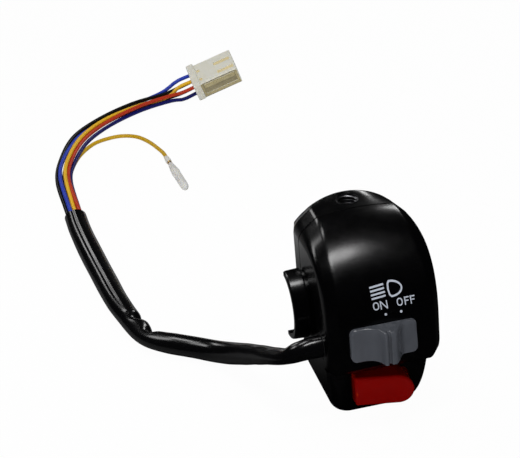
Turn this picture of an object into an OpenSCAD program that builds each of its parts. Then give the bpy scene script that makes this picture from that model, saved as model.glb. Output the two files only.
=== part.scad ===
// Right-hand handlebar switch cluster: a two-part clamp housing with a light slider,
// a sprung starter paddle and a short loom that ends in a six-way connector.
// X runs along the handlebar, Y points away from the rider, Z is up, millimetres.
// The origin lies on the handlebar axis, half way along the housing.

/* [Handlebar clamp] */
// Diameter of the handlebar
bar_d = 22.2; // [20:0.1:24]
// Radial room between the clamp bore and the handlebar
bar_clear = 0.05; // [0.01:0.01:0.1]
// Length of the half collar beside the housing
collar_l = 6.5; // [4:0.5:10]
// Radial room between the collar and the handlebar
collar_clear = 0.25; // [0.1:0.05:0.6]
// Wall of the half collar
collar_wall = 2.1; // [1.5:0.1:3]

/* [Housing] */
// Width of the housing along the handlebar
body_w = 41.5; // [40:0.5:46]
// Wall of both shells
wall = 2.2; // [1.8:0.1:2.6]
// Height of the crown above the handlebar axis
top_h = 33.2; // [32:0.2:36]
// Drop of the top from its middle to its edges
crown = 1.3; // [0:0.1:2]
// Height of the shoulder where the side starts to bevel
shoulder_h = 26.3; // [24:0.1:27]
// Distance from the handlebar axis to the switch face
face_depth = 36.5; // [35:0.1:40]
// Distance from the handlebar axis to the front of the side
side_depth = 30; // [28:0.1:32]
// Bevel width at the left of the top
bevel_top_left = 7; // [5:0.1:7.5]
// Bevel width at the right of the top
bevel_top_right = 5.5; // [4:0.1:7]
// Bevel width beside the switch face
bevel_face = 3.8; // [2.5:0.1:4.5]
// Bevel width at the left of the lower edge
bevel_low_left = 1.6; // [1:0.1:5]
// Bevel width at the right of the lower edge
bevel_low_right = 4.8; // [3:0.1:5.5]
// Distance from the handlebar axis down to the step under the switch face
step_drop = 14.9; // [14.4:0.1:16]
// Rounding of the lower edge of the switch face
step_r = 7.6; // [6:0.1:8]
// Distance from the handlebar axis to the front of the lower part
lower_depth = 28.5; // [27.5:0.1:30]
// Reach of the lower part to the right
lower_reach = 16.4; // [15.5:0.1:18]
// Distance from the handlebar axis down to the flat base
base_drop = 32.2; // [31.5:0.1:36]
// Radius of the lower left corner
corner_r = 8; // [5:0.5:9]
// Depth of the rear shell behind its middle
rear_depth = 13.8; // [13.6:0.1:16]
// Depth of the rear shell at its sides
rear_side = 8.5; // [7.5:0.1:10]
// Rise of the rear shell's top from the parting face to its back
rear_rise = 0.8; // [0:0.1:1.5]
// Radius of the arch over the rear shell's back
rear_arch_r = 25; // [22:0.5:28]

/* [Mirror mount] */
// Radius of the tapped wall for the mirror stem
mirror_r = 3.4; // [3:0.05:4.5]
// Radius of the countersink round the mirror hole
mirror_mouth_r = 4.25; // [4:0.05:5]
// Distance of the mirror hole behind the handlebar axis
mirror_y = 7.6; // [6.5:0.1:8]
// Height of the bottom of the mirror hole above the handlebar axis
mirror_floor = 16; // [15.5:0.1:20]

/* [Housing screws] */
// Radius of the screw shank
screw_r = 2.05; // [1.5:0.05:2.3]
// Radius of the screw head
screw_head_r = 4.2; // [3.5:0.1:4.5]
// Length of the screw under its head
screw_l = 16; // [12:1:18]
// Depth of the rear shell under the screw heads
screw_seat = 4.5; // [3.5:0.1:5.5]

/* [Light slider] */
// Width of the slider cap
slider_w = 24; // [22:0.1:26]
// Height of the slider cap
slider_h = 12.8; // [11:0.1:13.5]
// Thickness of the slider cap at its ends
slider_end = 1.8; // [1.2:0.1:2.5]
// Height of the slider's ridge above the switch face
ridge_h = 7.5; // [5:0.1:9]
// Width of the ridge
ridge_w = 3.8; // [3:0.1:5]
// Width and depth of the pointer groove in the ridge
groove = 1.1; // [0.8:0.1:1.4]
// Place of the slider's middle at ON
slider_x = -1.95; // [-2.5:0.05:-1.5]
// Height of the slider's middle
slider_z = -0.2; // [-0.5:0.1:0.8]
// Travel of the slider from ON to OFF
slider_travel = 5.6; // [4.5:0.1:6]
// Width of the neck through the switch face
neck_w = 9; // [7:0.5:10]
// Height of the neck
neck_h = 6; // [5:0.2:7]

/* [Light contacts] */
// Width of the carrier behind the switch face
carrier_w = 17.2; // [16:0.1:18]
// Height of the carrier
carrier_h = 11.2; // [10:0.1:12]
// Thickness of the carrier
carrier_t = 4.6; // [4:0.1:5]
// Radius of the detent ball
ball_r = 1.2; // [1:0.05:1.4]
// Thickness of the contact board
board_t = 1.6; // [1.2:0.1:2]
// Thickness of the sliding contact strip
strip_t = 0.5; // [0.4:0.1:0.8]
// Radius of a contact rivet's head
rivet_r = 1.3; // [1.1:0.05:1.5]

/* [Starter paddle] */
// Left end of the paddle
paddle_left = -11.8; // [-12.4:0.1:-11.4]
// Length of the paddle
paddle_l = 20.4; // [19:0.1:20.6]
// Height of the paddle
paddle_h = 11.4; // [10:0.1:11.6]
// Height of the paddle's middle over the base
paddle_rise = 9.6; // [9.3:0.1:10]
// How far the paddle's left end stands out of the lower part
paddle_low = 3.6; // [2:0.1:4.5]
// How far the paddle's right end stands out of the lower part
paddle_high = 8.4; // [7:0.1:11]
// Turn of the paddle when it is pressed
paddle_turn = 8; // [5:0.5:8.5]
// Radius of the hinge pin
pin_r = 1; // [0.8:0.05:1.2]

/* [Starter contacts] */
// Place of the plunger along the handlebar
plunger_x = 1.5; // [1:0.1:2]
// Radius of the plunger's front stem
plunger_r = 2; // [1.6:0.1:2.4]
// Radius of the plunger's tail
tail_r = 1.4; // [1.1:0.05:1.6]
// Thickness of the contact base
base_t = 1.8; // [1.4:0.1:2.4]
// Thickness of the copper bridge
bridge_t = 0.6; // [0.4:0.1:1]
// Wire radius of the return spring
coil_r = 0.25; // [0.2:0.01:0.3]
// Turns of the return spring
coil_turns = 4; // [3:1:5]

/* [Small screws] */
// Radius of a small screw's shank
small_r = 0.95; // [0.8:0.05:1.1]
// Radius of a small screw's head
small_head_r = 2; // [1.6:0.1:2.2]
// Height of a small screw's head
small_head_h = 1.2; // [0.8:0.1:1.5]

/* [Loom] */
// Outer diameter of the sleeve
sleeve_d = 8; // [7:0.1:8]
// Wall of the rubber grommet
grommet_wall = 0.9; // [0.7:0.1:1.3]
// Outer diameter of a wire
wire_d = 1.8; // [1.4:0.1:1.9]
// Length of the connector
plug_l = 22.9; // [20:0.1:26]
// Width of the connector
plug_w = 15.6; // [15:0.1:17]
// Height of the connector
plug_h = 9.5; // [9:0.1:11]
// Length of the bullet terminal's bare nose
bullet_l = 9; // [7:0.5:12]
// Radius of the bullet terminal's nose
bullet_r = 1.4; // [1.1:0.1:1.6]
// Length of the clear sleeve over the bullet terminal
crimp_l = 20; // [16:0.5:24]

/* [Hidden] */
$fn = 48;

// Clearances
run = 0.05;          // radial room of a pin or shaft in its hole
slip = 0.25;         // room between a sliding piece and what guides it
play = 0.35;         // room round the paddle in its window
touch = 0.15;        // room between the paddle and the plunger's tip
hair = 0.01;         // thickness of a slice that only carries an outline
past = 1;            // how far a cut runs past the face it opens

// Housing form
half_w = body_w / 2;
bore_r = bar_d / 2 + bar_clear;
saddle_r = bore_r + wall;
face_z = 5;                        // height where the switch face turns upright
side_z = 2;                        // height where the side's front turns upright
crease_z = step_r - step_drop;     // height where the lower edge starts to round
arc_rows = 10;
step_rows = 5;
top_pull = [-17, 1.5];             // how the top outline starts forward
face_pull = 13;                    // how the switch face starts upward
shoulder_pull = [-21, 3];          // how the shoulder starts forward
side_pull = 19;                    // how the side's front starts upward
lower_flat = 4.5;                  // right end of the flat base
lower_lap = 0.5;                   // how far the lower part runs up into the block
rear_taper = 0.3;                  // inset of the rear shell at its sides' depth
rear_round = 1.6;                  // rounding of the rear shell's back edge
arch_turn = 40;                    // angle at which the rear arch turns into the sides
rear_foot = 4;                     // rise of the base towards the back
rear_peak = top_h + rear_rise;
mirror_top = top_h + rear_rise * mirror_y / (rear_depth - rear_round);
mirror_boss_r = mirror_mouth_r + 2;
mirror_sink = mirror_mouth_r - mirror_r;

// Light slider, measured from the switch face
face_in = -(face_depth - wall);
neck_end = face_in + slip;                    // where the neck meets the carrier
carrier_back = neck_end + carrier_t;
strip_back = carrier_back + strip_t;
rivet_head = 0.95;
rivet_front = strip_back + slip;
board_front = rivet_front + rivet_head;
board_back = board_front + board_t;
rivet_core = 0.9;
rivet_tail = 1.5;
rivet_pitch = slider_travel;
rivet_x = slider_x - 4;                       // place of the left contact
contact_z = slider_z - carrier_h / 2 + 2;
strip_left = 5;                               // reach of the strip left and right of the slider's middle
strip_right = 3;
strip_half = 1.5;
board_half = 5;
head_sink = small_head_h + 0.3;               // depth of the slider screw's head in the carrier
small_grip = 4.5;                             // length of a small screw in its boss
hole_spare = 0.5;                             // how much deeper its hole is
post_r = 1.9;
post_gap = 0.5;
post_left = slider_x - carrier_w / 2 - post_gap - post_r;
post_right = slider_x + slider_travel + carrier_w / 2 + post_gap + post_r;
rail_h = 1.8;
rail_w = 15.5;
ball_x = slider_x + 5.2;
ball_y = neck_end + carrier_t / 2;
ball_rise = 0.35;                             // how far the ball stands out of the carrier
carrier_top = slider_z + carrier_h / 2;
ball_z = carrier_top + ball_rise - ball_r;
ball_bore_r = ball_r + run;
detent_depth = 4.6;
detent_wire_r = 0.18;
detent_room = 0.15;                           // room between the detent spring and its bore
detent_turns = 4;

// Starter, measured from the front of the lower part
paddle_z = paddle_rise - base_drop;
paddle_right = paddle_left + paddle_l;
lower_in = -(lower_depth - wall);
paddle_inset = 0.4;                           // how far the paddle's back lies inside the wall
paddle_back = lower_in + paddle_inset;
paddle_corner = 0.8;                          // rounding of the paddle's left corners
window_room = 0.9;                            // room right of the paddle for its swing
pin_place = [2.2, 1.3];                       // pin from the paddle's left end and its back
pin_x = paddle_left + pin_place[0];
knuckle_r = pin_r + 0.9;
pin_y = paddle_back + pin_place[1];
pin_reach = 1.6;                              // length of the pin inside each lug
lug_h = 2.3;
stop_l = 2.6;                                 // reach of the tongue past the paddle's right end
stop_t = 1.5;
stop_half = 3;
dome_r = 3;
plunger_tip = paddle_back + touch;
stem_l = 6;
flange_t = 1.2;
flange_r = 3.6;
tail_l = 10.5;
flange_back = plunger_tip + stem_l + flange_t;
bridge_back = flange_back + bridge_t;
plunger_travel = (plunger_x - pin_x) * sin(paddle_turn);
stud_h = 1.9;
stud_r = 1;
stud_gap = 0.25;                              // room left between bridge and studs when pressed
stud_z = 3.8;
bridge_half = 2.4;
spring_room = 0.35;                           // room between the return spring and the tail
base_front = bridge_back + plunger_travel + stud_gap + stud_h;
base_back = base_front + base_t;
base_half = 7.6;
base_h = 11;
pillar_x = 5.9;
pillar_r = 1.7;
pillar_front = -20.5;

// Housing screws: one above the bar, one below it
screw_places = [[13, 20.5], [-11, -22.2]];
boss_r = screw_r + 1.6;
boss_l = screw_l - screw_seat + 2;
rib_half = 1;                                 // half thickness of the ribs beside the bosses
head_wall = 1.5;
screw_head_h = 3;
screw_room = 0.35;                            // room round the screws in the rear shell

// Loom
floor_z = -base_drop;
sleeve_r = sleeve_d / 2;
wire_r = wire_d / 2;
entry = [-22.9, -6.5];                        // where the loom enters the left side, Y and Z
grommet_lip = 1.2;                            // thickness of the grommet's inner flange
grommet_grow = 1.7;                           // how far that flange stands out over the sleeve
entry_in = -half_w + wall + grommet_lip + 0.2; // inner end of the sleeve
lie = floor_z + sleeve_r;                     // height of the sleeve's middle where it lies on the floor
sleeve_route = [
  [entry_in, entry[0], entry[1]], [-24, -22.9, -6.5], [-29, -22.3, -7.4], [-33, -18.5, -10.5],
  [-36, -11, -14], [-39, -2, -18], [-42.5, 7, -22], [-46.5, 15.5, lie + 2.6], [-51, 22.5, lie + 0.5],
  [-57, 28.5, lie], [-64, 34, lie], [-70, 39, lie], [-74, 46, lie], [-76.5, 58, lie],
  [-79, 75, lie], [-80.5, 95, lie], [-82, 118, lie], [-83, 140, lie], [-83, 155, lie]
];
lead_r = 0.6;                                 // radius of the leads inside the housing
lead_lane = 1.6;                              // spacing of leads that run side by side
lead_sides = 8;
lead_run = [1.4, 0, 0];                       // straight end of a lead in front of the sleeve
lead_turn = 0.8;                              // bend of a lead into its lane
lead_reach = 4;                               // where a light lead leaves its lane for the sleeve
lead_high = 1.8;                              // height of the light leads in the sleeve's inner end
// Starter leads: ends in the sleeve as Y and Z, starts from their contacts, and the way between
upper_spot = [1, -1.4];
lower_spot = [-0.3, -2.9];
upper_start = [[0, 0, 0], [0, 1.2, 0], [-1.5, 1.8, 1.2]];
lower_start = [[0, 0, 0], [0, 1.6, 0], [-1.5, 2.4, 0]];
upper_way = [[-6, -9.6, -16.4], [-11.5, -12.6, -14.4], [-14, -18.2, -10.6]];
lower_way = [[-3.5, -8.4, -25.2], [-5, -8, -22], [-5.6, -7.4, -19], [-7, -7.2, -16.8],
             [-12, -10.6, -15.6], [-14.2, -17, -12.6]];
mouth = sleeve_route[len(sleeve_route) - 1];
// Middle of the wires from the sleeve's mouth to the connector, X and Y
wire_route = [
  [-83, 155], [-83, 165], [-82, 194], [-78, 212], [-68.5, 233.5], [-54.5, 249.5], [-36.5, 261], [-20, 267]
];
plug_turns = [16, -17.7, -4.5];               // turns of the connector about X, Y and Z
plug_place = [-4.3, 271, 2.5 - base_drop];    // middle of its rear end's lower edge
flange_grow = 1;                              // how far the rear flange stands out
flange_l = 3.5;
row_low = 2.8;                                // heights of the connector's two rows of ways
row_high = 6.8;
way_pitch = 4.8;
way_half = 1.6;                               // half width of a way through the connector
way_half_h = 1;
way_start = 2;                                // where the ways start behind the rear wall
blade_half = 1.4;                             // half width of a terminal
blade_half_h = 0.6;
blade_set = 3;                                // how far the terminals stay behind the connector's front
lay_pitch = 1.95;                             // spacing of wires that lie side by side
lay_rise = 2.1;                               // height of the upper layer over the lower one
lay_low = 2.95;                               // height of the lower layer, over the yellow tail
mouth_rows = [-0.1, 1.9];                     // heights of the two layers in the sleeve's mouth
mouth_pitch = 1.85;
plug_lead = 7;                                // straight length of the wires behind the connector
crimp_wall = 0.35;
crimp_r = wire_r + 0.2;                       // radius of the terminal's barrel
crimp_bare = 2;                               // how far the clear sleeve runs past the barrel
tail_z = floor_z + crimp_r + run + crimp_wall + run;
tail_low = floor_z + wire_r + run;
tail_route = [
  [-81.6, 155, lie - 2], [-81.6, 163, lie - 2], [-81, 178, tail_low], [-79.8, 194, tail_low],
  [-76.5, 209, tail_low], [-70.5, 223, tail_low], [-62.5, 232, tail_z], [-54.5, 235.4, tail_z],
  [-47.8, 235.4, tail_z], [-41.6, 231.5, tail_z], [-37.4, 223.5, tail_z], [-34.8, 214.5, tail_z],
  [-33.5, 208.5, tail_z], [-33.15, 202, tail_z]
];
tail_end = tail_route[len(tail_route) - 1];
tail_lead = tail_end - tail_route[len(tail_route) - 2];
bullet_turn = atan2(tail_lead[0], -tail_lead[1]); // turn of the bullet terminal from -Y towards +X

// Points on a curve with two pulls
function bend(a, b, c, d, t) =
  (1 - t) ^ 3 * a + 3 * (1 - t) ^ 2 * t * b + 3 * (1 - t) * t ^ 2 * c + t ^ 3 * d;
// Points on an arc about a middle
function arc(mid, r, from, to, steps) =
  [for (i = [0 : steps]) let (a = from + (to - from) * i / steps) mid + r * [cos(a), sin(a)]];
// Outline of a box with round corners about the origin
function round_box(w, h, r) = concat(
  arc([w / 2 - r, h / 2 - r], r, 0, 90, 5), arc([r - w / 2, h / 2 - r], r, 90, 180, 5),
  arc([r - w / 2, r - h / 2], r, 180, 270, 5), arc([w / 2 - r, r - h / 2], r, 270, 360, 5));
function unit(v) = v / norm(v);

// Place across the top or switch face between its left and right edges, u from -1 to 1
function across(left, right, u) = (right - left) / 2 + u * (right + left) / 2;
face_steps = [-1, -0.5, 0, 0.5, 1];

// Rows of the upper block, from the parting face over the top and down the switch face.
// A row is [reach to the left, reach to the right, Y, Z, rise of the middle, Y of the side, Z of the side].
function top_row(k, t) =
  let (m = bend([0, top_h - crown - k], [top_pull[0], top_h - crown - k + top_pull[1]],
                [k - face_depth, face_z + face_pull], [k - face_depth, face_z], t),
       s = bend([0, shoulder_h - k], [shoulder_pull[0], shoulder_h - k + shoulder_pull[1]],
                [k - side_depth, side_z + side_pull], [k - side_depth, side_z], t))
  [half_w - k - bevel_top_left + (bevel_top_left - bevel_face) * t,
   half_w - k - bevel_top_right + (bevel_top_right - bevel_face) * sin(90 * t),
   m[0], m[1], crown * (1 - t), s[0], s[1]];
function step_row(k, a) =
  let (r = step_r - k, z = crease_z - r * sin(a))
  [half_w - k - bevel_face + (bevel_face - bevel_low_left) * sin(a),
   half_w - k - bevel_face + (bevel_face - bevel_low_right) * sin(a),
   step_r - face_depth - r * cos(a), z, 0, step_r - side_depth - r * cos(a), z];
function block_rows(k) = concat(
  [for (i = [0 : arc_rows]) top_row(k, i / arc_rows)],
  [for (i = [0 : step_rows]) step_row(k, 90 * i / step_rows)]);
function row_points(k, r) = concat(
  [[k - half_w, r[5], r[6]]],
  [for (u = face_steps) [across(r[0], r[1], u), r[2], r[3] + r[4] * (1 - u * u)]],
  [[half_w - k, r[5], r[6]]]);

// Upper block of the front shell, set in by k
module front_block(k) {
  rows = block_rows(k);
  n = len(rows);
  c = 7;
  foot = crease_z - (step_r - k);
  points = concat(
    [for (r = rows) each row_points(k, r)],
    [[k - half_w, 0, foot], [half_w - k, 0, foot]]);
  left_foot = n * c;
  right_foot = n * c + 1;
  faces = concat(
    [for (i = [0 : n - 2], j = [0 : c - 2]) [i * c + j, i * c + j + 1, (i + 1) * c + j + 1]],
    [for (i = [0 : n - 2], j = [0 : c - 2]) [i * c + j, (i + 1) * c + j + 1, (i + 1) * c + j]],
    [concat([for (i = [0 : n - 1]) i * c], [left_foot])],
    [concat([right_foot], [for (i = [n - 1 : -1 : 0]) i * c + c - 1])],
    [concat([for (j = [c - 1 : -1 : 0]) j], [left_foot, right_foot])],
    [concat([right_foot, left_foot], [for (j = [0 : c - 1]) (n - 1) * c + j])]);
  polyhedron(points, faces);
}

// Front outline of the lower part, set in by k, with its base lifted by rise
function lower_outline(k, rise, top) = concat(
  [[k - half_w, top]],
  arc([corner_r - half_w, corner_r - base_drop + rise], corner_r - k, 180, 270, 8),
  [for (i = [0 : 8]) bend(
    [lower_flat, k + rise - base_drop], [lower_flat + 8, k + rise - base_drop],
    [lower_reach - k - 1.4, -step_drop - 9], [lower_reach - k, -step_drop], i / 8)],
  [[lower_reach - k, top]]);

// Outline of the upper block where the two shells meet, set in by k
function block_outline(k) =
  let (left = half_w - k - bevel_top_left, right = half_w - k - bevel_top_right, top = top_h - crown - k)
  concat(
    [[k - half_w, k - step_drop], [k - half_w, shoulder_h - k]],
    [for (u = face_steps) [across(left, right, u), top + crown * (1 - u * u)]],
    [[half_w - k, shoulder_h - k], [half_w - k, k - step_drop]]);
// Outline of the rear shell's back under its arch, set in by k
function arch_outline(k) =
  let (top = arc([0, rear_peak - rear_arch_r], rear_arch_r - k, arch_turn, 180 - arch_turn, 10),
       half = (rear_arch_r - k) * cos(arch_turn))
  concat(top, [[-half, k - step_drop], [half, k - step_drop]]);

// An outline in X and Z drawn back along Y
module along_y(from, to) {
  translate([0, to, 0]) rotate([90, 0, 0]) linear_extrude(to - from) children();
}
// A rod along Y
module rod_y(r, x, z, from, to) {
  translate([x, from, z]) rotate([-90, 0, 0]) cylinder(r = r, h = to - from);
}
// A rod along X on the handlebar axis
module rod_x(r, from, to) {
  translate([from, 0, 0]) rotate([0, 90, 0]) cylinder(r = r, h = to - from, $fn = 96);
}
// A box from one corner to the opposite one
module span(a, b) {
  translate(a) cube(b - a);
}

module front_form(k, back) {
  front_block(k);
  along_y(k - lower_depth, back) polygon(lower_outline(k, 0, lower_lap + k - step_drop));
}

module half_collar() {
  inner = bar_d / 2 + collar_clear;
  outer = inner + collar_wall;
  lip = 1.2;
  end = collar_l + wall;
  translate([-half_w - collar_l, 0, 0]) rotate([0, 90, 0]) rotate([0, 0, 180])
    rotate_extrude(angle = 180, $fn = 96)
      polygon([[inner, 0], [outer - lip / 2, 0], [outer, lip], [outer, end], [inner, end]]);
}

// Bosses, rails and pillars that stand inside the front shell
module front_bosses() {
  rod_x(saddle_r, -half_w, half_w);
  for (p = screw_places) {
    rod_y(boss_r, p[0], p[1], -boss_l, 0);
    span([min(p[0], sign(p[0]) * half_w), -boss_l, p[1] - rib_half],
         [max(p[0], sign(p[0]) * half_w), 0, p[1] + rib_half]);
  }
  for (s = [-1, 1])
    span([-rail_w, -face_depth + past, slider_z + s * (carrier_h / 2 + slip + rail_h / 2) - rail_h / 2],
         [rail_w, carrier_back, slider_z + s * (carrier_h / 2 + slip + rail_h / 2) + rail_h / 2]);
  for (x = [post_left, post_right])
    rod_y(post_r, x, slider_z, -face_depth + past, board_front);
  for (z = [paddle_z - paddle_h / 2 - play - lug_h, paddle_z + paddle_h / 2 + play])
    span([pin_x - knuckle_r - past, lower_in - past, z],
         [pin_x + knuckle_r + past, pin_y + knuckle_r, z + lug_h]);
  for (s = [-1, 1])
    span([plunger_x + s * pillar_x - pillar_r, pillar_front, floor_z],
         [plunger_x + s * pillar_x + pillar_r, base_front, paddle_z + pillar_r]);
}

module front_housing() color("#1b1c1f") {
  half_collar();
  difference() {
    union() {
      difference() {
        front_form(0, 0);
        front_form(wall, past);
      }
      intersection() {
        front_form(0, 0);
        front_bosses();
      }
    }
    rod_x(bore_r, -half_w - past, half_w + past);
    // Slot for the slider's neck
    span([slider_x - neck_w / 2 - slip, -face_depth - past, slider_z - neck_h / 2 - slip],
         [slider_x + neck_w / 2 + slip + slider_travel, face_in + slip / 2, slider_z + neck_h / 2 + slip]);
    // Groove that lets the detent ball pass along the upper rail
    span([ball_x - ball_r - slip, ball_y - ball_r - slip, carrier_top],
         [ball_x + ball_r + slip + slider_travel, ball_y + ball_r + slip, ball_z + ball_r + slip]);
    // Window for the paddle
    span([paddle_left - play, -lower_depth - past, paddle_z - paddle_h / 2 - play],
         [paddle_right + window_room, lower_in + past / 2, paddle_z + paddle_h / 2 + play]);
    translate([pin_x, pin_y, paddle_z - paddle_h / 2 - play - pin_reach])
      cylinder(r = pin_r + run, h = paddle_h + 2 * play + 2 * pin_reach);
    // Screw holes
    for (p = screw_places)
      rod_y(screw_r + run, p[0], p[1], screw_seat - screw_l - past, past);
    for (x = [post_left, post_right])
      rod_y(small_r + run, x, slider_z, board_front - small_grip - hole_spare, board_front + past);
    for (s = [-1, 1])
      rod_y(small_r + run, plunger_x + s * pillar_x, paddle_z,
            base_front - small_grip - hole_spare, base_front + past);
    // Hole for the grommet and room for its flange
    translate([-half_w - past, entry[0], entry[1]]) rotate([0, 90, 0])
      cylinder(r = sleeve_r + run + grommet_wall, h = wall + 2 * past);
    translate([wall - half_w, entry[0], entry[1]]) rotate([0, 90, 0])
      cylinder(r = sleeve_r + grommet_grow + slip, h = grommet_lip + slip);
  }
}

module slice_y(y) {
  along_y(y, y + hair) children();
}
module rear_block(k, front) {
  hull() {
    slice_y(front) polygon(block_outline(k));
    slice_y(rear_side - k) polygon(block_outline(k + rear_taper));
    slice_y(rear_depth - rear_round - k) polygon(arch_outline(k));
    slice_y(rear_depth - k - hair) polygon(arch_outline(k + rear_round));
  }
}
module rear_lower(k, front) {
  hull() {
    slice_y(front) polygon(lower_outline(k, 0, lower_lap + k - step_drop));
    slice_y(rear_side - k) polygon(lower_outline(k + rear_round, rear_foot, lower_lap + k - step_drop));
  }
}
module rear_form(k, front) {
  rear_block(k, front);
  rear_lower(k, front);
}
// The solid round the mirror hole, the bar and the screws
module rear_bosses() {
  rod_x(saddle_r, -half_w, half_w);
  translate([0, mirror_y, 0]) cylinder(r = mirror_boss_r, h = rear_peak);
  for (p = screw_places)
    rod_y(screw_head_r + head_wall, p[0], p[1], 0, rear_depth);
}

module rear_housing() color("#222326") difference() {
  union() {
    difference() {
      rear_form(0, 0);
      rear_form(wall, -past);
    }
    intersection() {
      rear_form(0, 0);
      rear_bosses();
    }
    intersection() {
      rod_x(saddle_r, -half_w, half_w);
      span([-half_w, 0, -saddle_r], [half_w, saddle_r, saddle_r]);
    }
  }
  rod_x(bore_r, -half_w - past, half_w + past);
  translate([0, mirror_y, mirror_floor]) cylinder(r = mirror_r, h = top_h);
  translate([0, mirror_y, mirror_top - mirror_sink])
    cylinder(r1 = mirror_r, r2 = 2 * mirror_mouth_r - mirror_r, h = 2 * mirror_sink);
  for (p = screw_places) {
    rod_y(screw_r + screw_room, p[0], p[1], -past, screw_seat + past);
    rod_y(screw_head_r + screw_room, p[0], p[1], screw_seat, rear_depth + past);
  }
}

module housing_screws() color("#8f9296") for (p = screw_places) {
  rod_y(screw_r, p[0], p[1], screw_seat - screw_l, screw_seat + hair);
  rod_y(screw_head_r, p[0], p[1], screw_seat, screw_seat + screw_head_h);
}

// Section of the slider cap seen from above: ends, a hollow flank, a grooved ridge and a slope
function flank(from, to) = [for (i = [0 : 6]) let (a = 15 * i)
  [from + (to - from) * sin(a), slider_end + (ridge_h - slider_end) * (1 - cos(a))]];
function slope(from, to) = [for (i = [0 : 8])
  bend([from, ridge_h], [from + slope_pull, ridge_h],
       [to - slope_pull, slider_end], [to, slider_end], i / 8)];
cap_half = slider_w / 2;
pointer = 0.3;                    // place of the groove from the cap's middle
flank_left = 4.1;                 // flat end left of the hollow flank
flank_right = 4.9;                // flat end right of the slope
slope_pull = 1.6;                 // how the right slope starts from the flat end and from the ridge
cap_section = concat(
  [[-cap_half, 0], [-cap_half, slider_end]],
  flank(flank_left - cap_half, pointer - ridge_w / 2),
  [[pointer - groove / 2, ridge_h], [pointer - groove / 2, ridge_h - groove],
   [pointer + groove / 2, ridge_h - groove], [pointer + groove / 2, ridge_h]],
  slope(pointer + ridge_w / 2, cap_half - flank_right),
  [[cap_half, slider_end], [cap_half, 0]]);

module slider_cap() color("#8b8f96") difference() {
  union() {
    intersection() {
      translate([slider_x, -face_depth - slip, slider_z - slider_h / 2]) mirror([0, 1, 0])
        linear_extrude(slider_h) polygon(cap_section);
      along_y(-face_depth - ridge_h - past, -face_depth)
        translate([slider_x, slider_z]) polygon(round_box(slider_w, slider_h, 1.6));
    }
    span([slider_x - neck_w / 2, -face_depth - slip - hair, slider_z - neck_h / 2],
         [slider_x + neck_w / 2, neck_end, slider_z + neck_h / 2]);
  }
  rod_y(small_r + run, slider_x, slider_z, neck_end - small_grip - hole_spare, neck_end + past);
}

module slider_carrier() color("#d9d4c4") difference() {
  span([slider_x - carrier_w / 2, neck_end, slider_z - carrier_h / 2],
       [slider_x + carrier_w / 2, carrier_back, carrier_top]);
  rod_y(small_r + run, slider_x, slider_z, neck_end - past, carrier_back + past);
  rod_y(small_head_r + run, slider_x, slider_z, carrier_back - head_sink, carrier_back + past);
  translate([ball_x, ball_y, carrier_top - detent_depth]) cylinder(r = ball_bore_r, h = detent_depth + past);
}

module slider_screw() color("#a9abad") {
  seat = carrier_back - head_sink;
  rod_y(small_r, slider_x, slider_z, neck_end - small_grip, seat + hair);
  rod_y(small_head_r, slider_x, slider_z, seat, seat + small_head_h);
}

module light_contact_strip() color("#c9a24a")
  span([slider_x - strip_left, carrier_back, contact_z - strip_half],
       [slider_x + strip_right, strip_back, contact_z + strip_half]);

module detent_ball() color("#b9bcc0") translate([ball_x, ball_y, ball_z]) sphere(r = ball_r);

module light_contact_board() color("#6b4a2b") difference() {
  span([post_left - post_r, board_front, slider_z - board_half],
       [post_right + post_r, board_back, slider_z + board_half]);
  for (i = [0 : 2])
    rod_y(rivet_core + run, rivet_x + i * rivet_pitch, contact_z, board_front - past, board_back + past);
  for (x = [post_left, post_right])
    rod_y(small_r + run, x, slider_z, board_front - past, board_back + past);
}

module light_fixed_contacts() color("#d0a558") for (i = [0 : 2]) {
  x = rivet_x + i * rivet_pitch;
  rod_y(rivet_r, x, contact_z, rivet_front, board_front);
  rod_y(rivet_core, x, contact_z, board_front - hair, board_back + rivet_tail);
}

module light_board_screws() color("#a9abad") for (x = [post_left, post_right]) {
  rod_y(small_r, x, slider_z, board_front - small_grip, board_back + hair);
  rod_y(small_head_r, x, slider_z, board_back, board_back + small_head_h);
}

// Front outline of the paddle: square at the left, round at the right
paddle_outline = concat(
  arc([paddle_right - paddle_h / 2, paddle_z], paddle_h / 2, -90, 90, 16),
  arc([paddle_left + paddle_corner, paddle_z + paddle_h / 2 - paddle_corner], paddle_corner, 90, 180, 3),
  arc([paddle_left + paddle_corner, paddle_z - paddle_h / 2 + paddle_corner], paddle_corner, 180, 270, 3));

module start_paddle() color("#c8200f") difference() {
  union() {
    intersection() {
      along_y(-lower_depth - paddle_high, paddle_back) polygon(paddle_outline);
      translate([0, 0, paddle_z - paddle_h]) linear_extrude(2 * paddle_h) polygon([
        [paddle_left, paddle_back], [paddle_left, -lower_depth - paddle_low],
        [paddle_right, -lower_depth - paddle_high], [paddle_right, paddle_back]]);
    }
    translate([pin_x, pin_y, paddle_z - paddle_h / 2]) cylinder(r = knuckle_r, h = paddle_h);
    // Tongue that stops behind the window's right edge
    span([paddle_right - stop_l, paddle_back - hair, paddle_z - stop_half],
         [paddle_right + stop_l, paddle_back + stop_t, paddle_z + stop_half]);
  }
  translate([pin_x, pin_y, paddle_z - paddle_h]) cylinder(r = pin_r + run, h = 2 * paddle_h);
}

module paddle_pin() color("#b9bcc0")
  translate([pin_x, pin_y, paddle_z - paddle_h / 2 - play - pin_reach + slip])
    cylinder(r = pin_r, h = paddle_h + 2 * play + 2 * pin_reach - 2 * slip);

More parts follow.
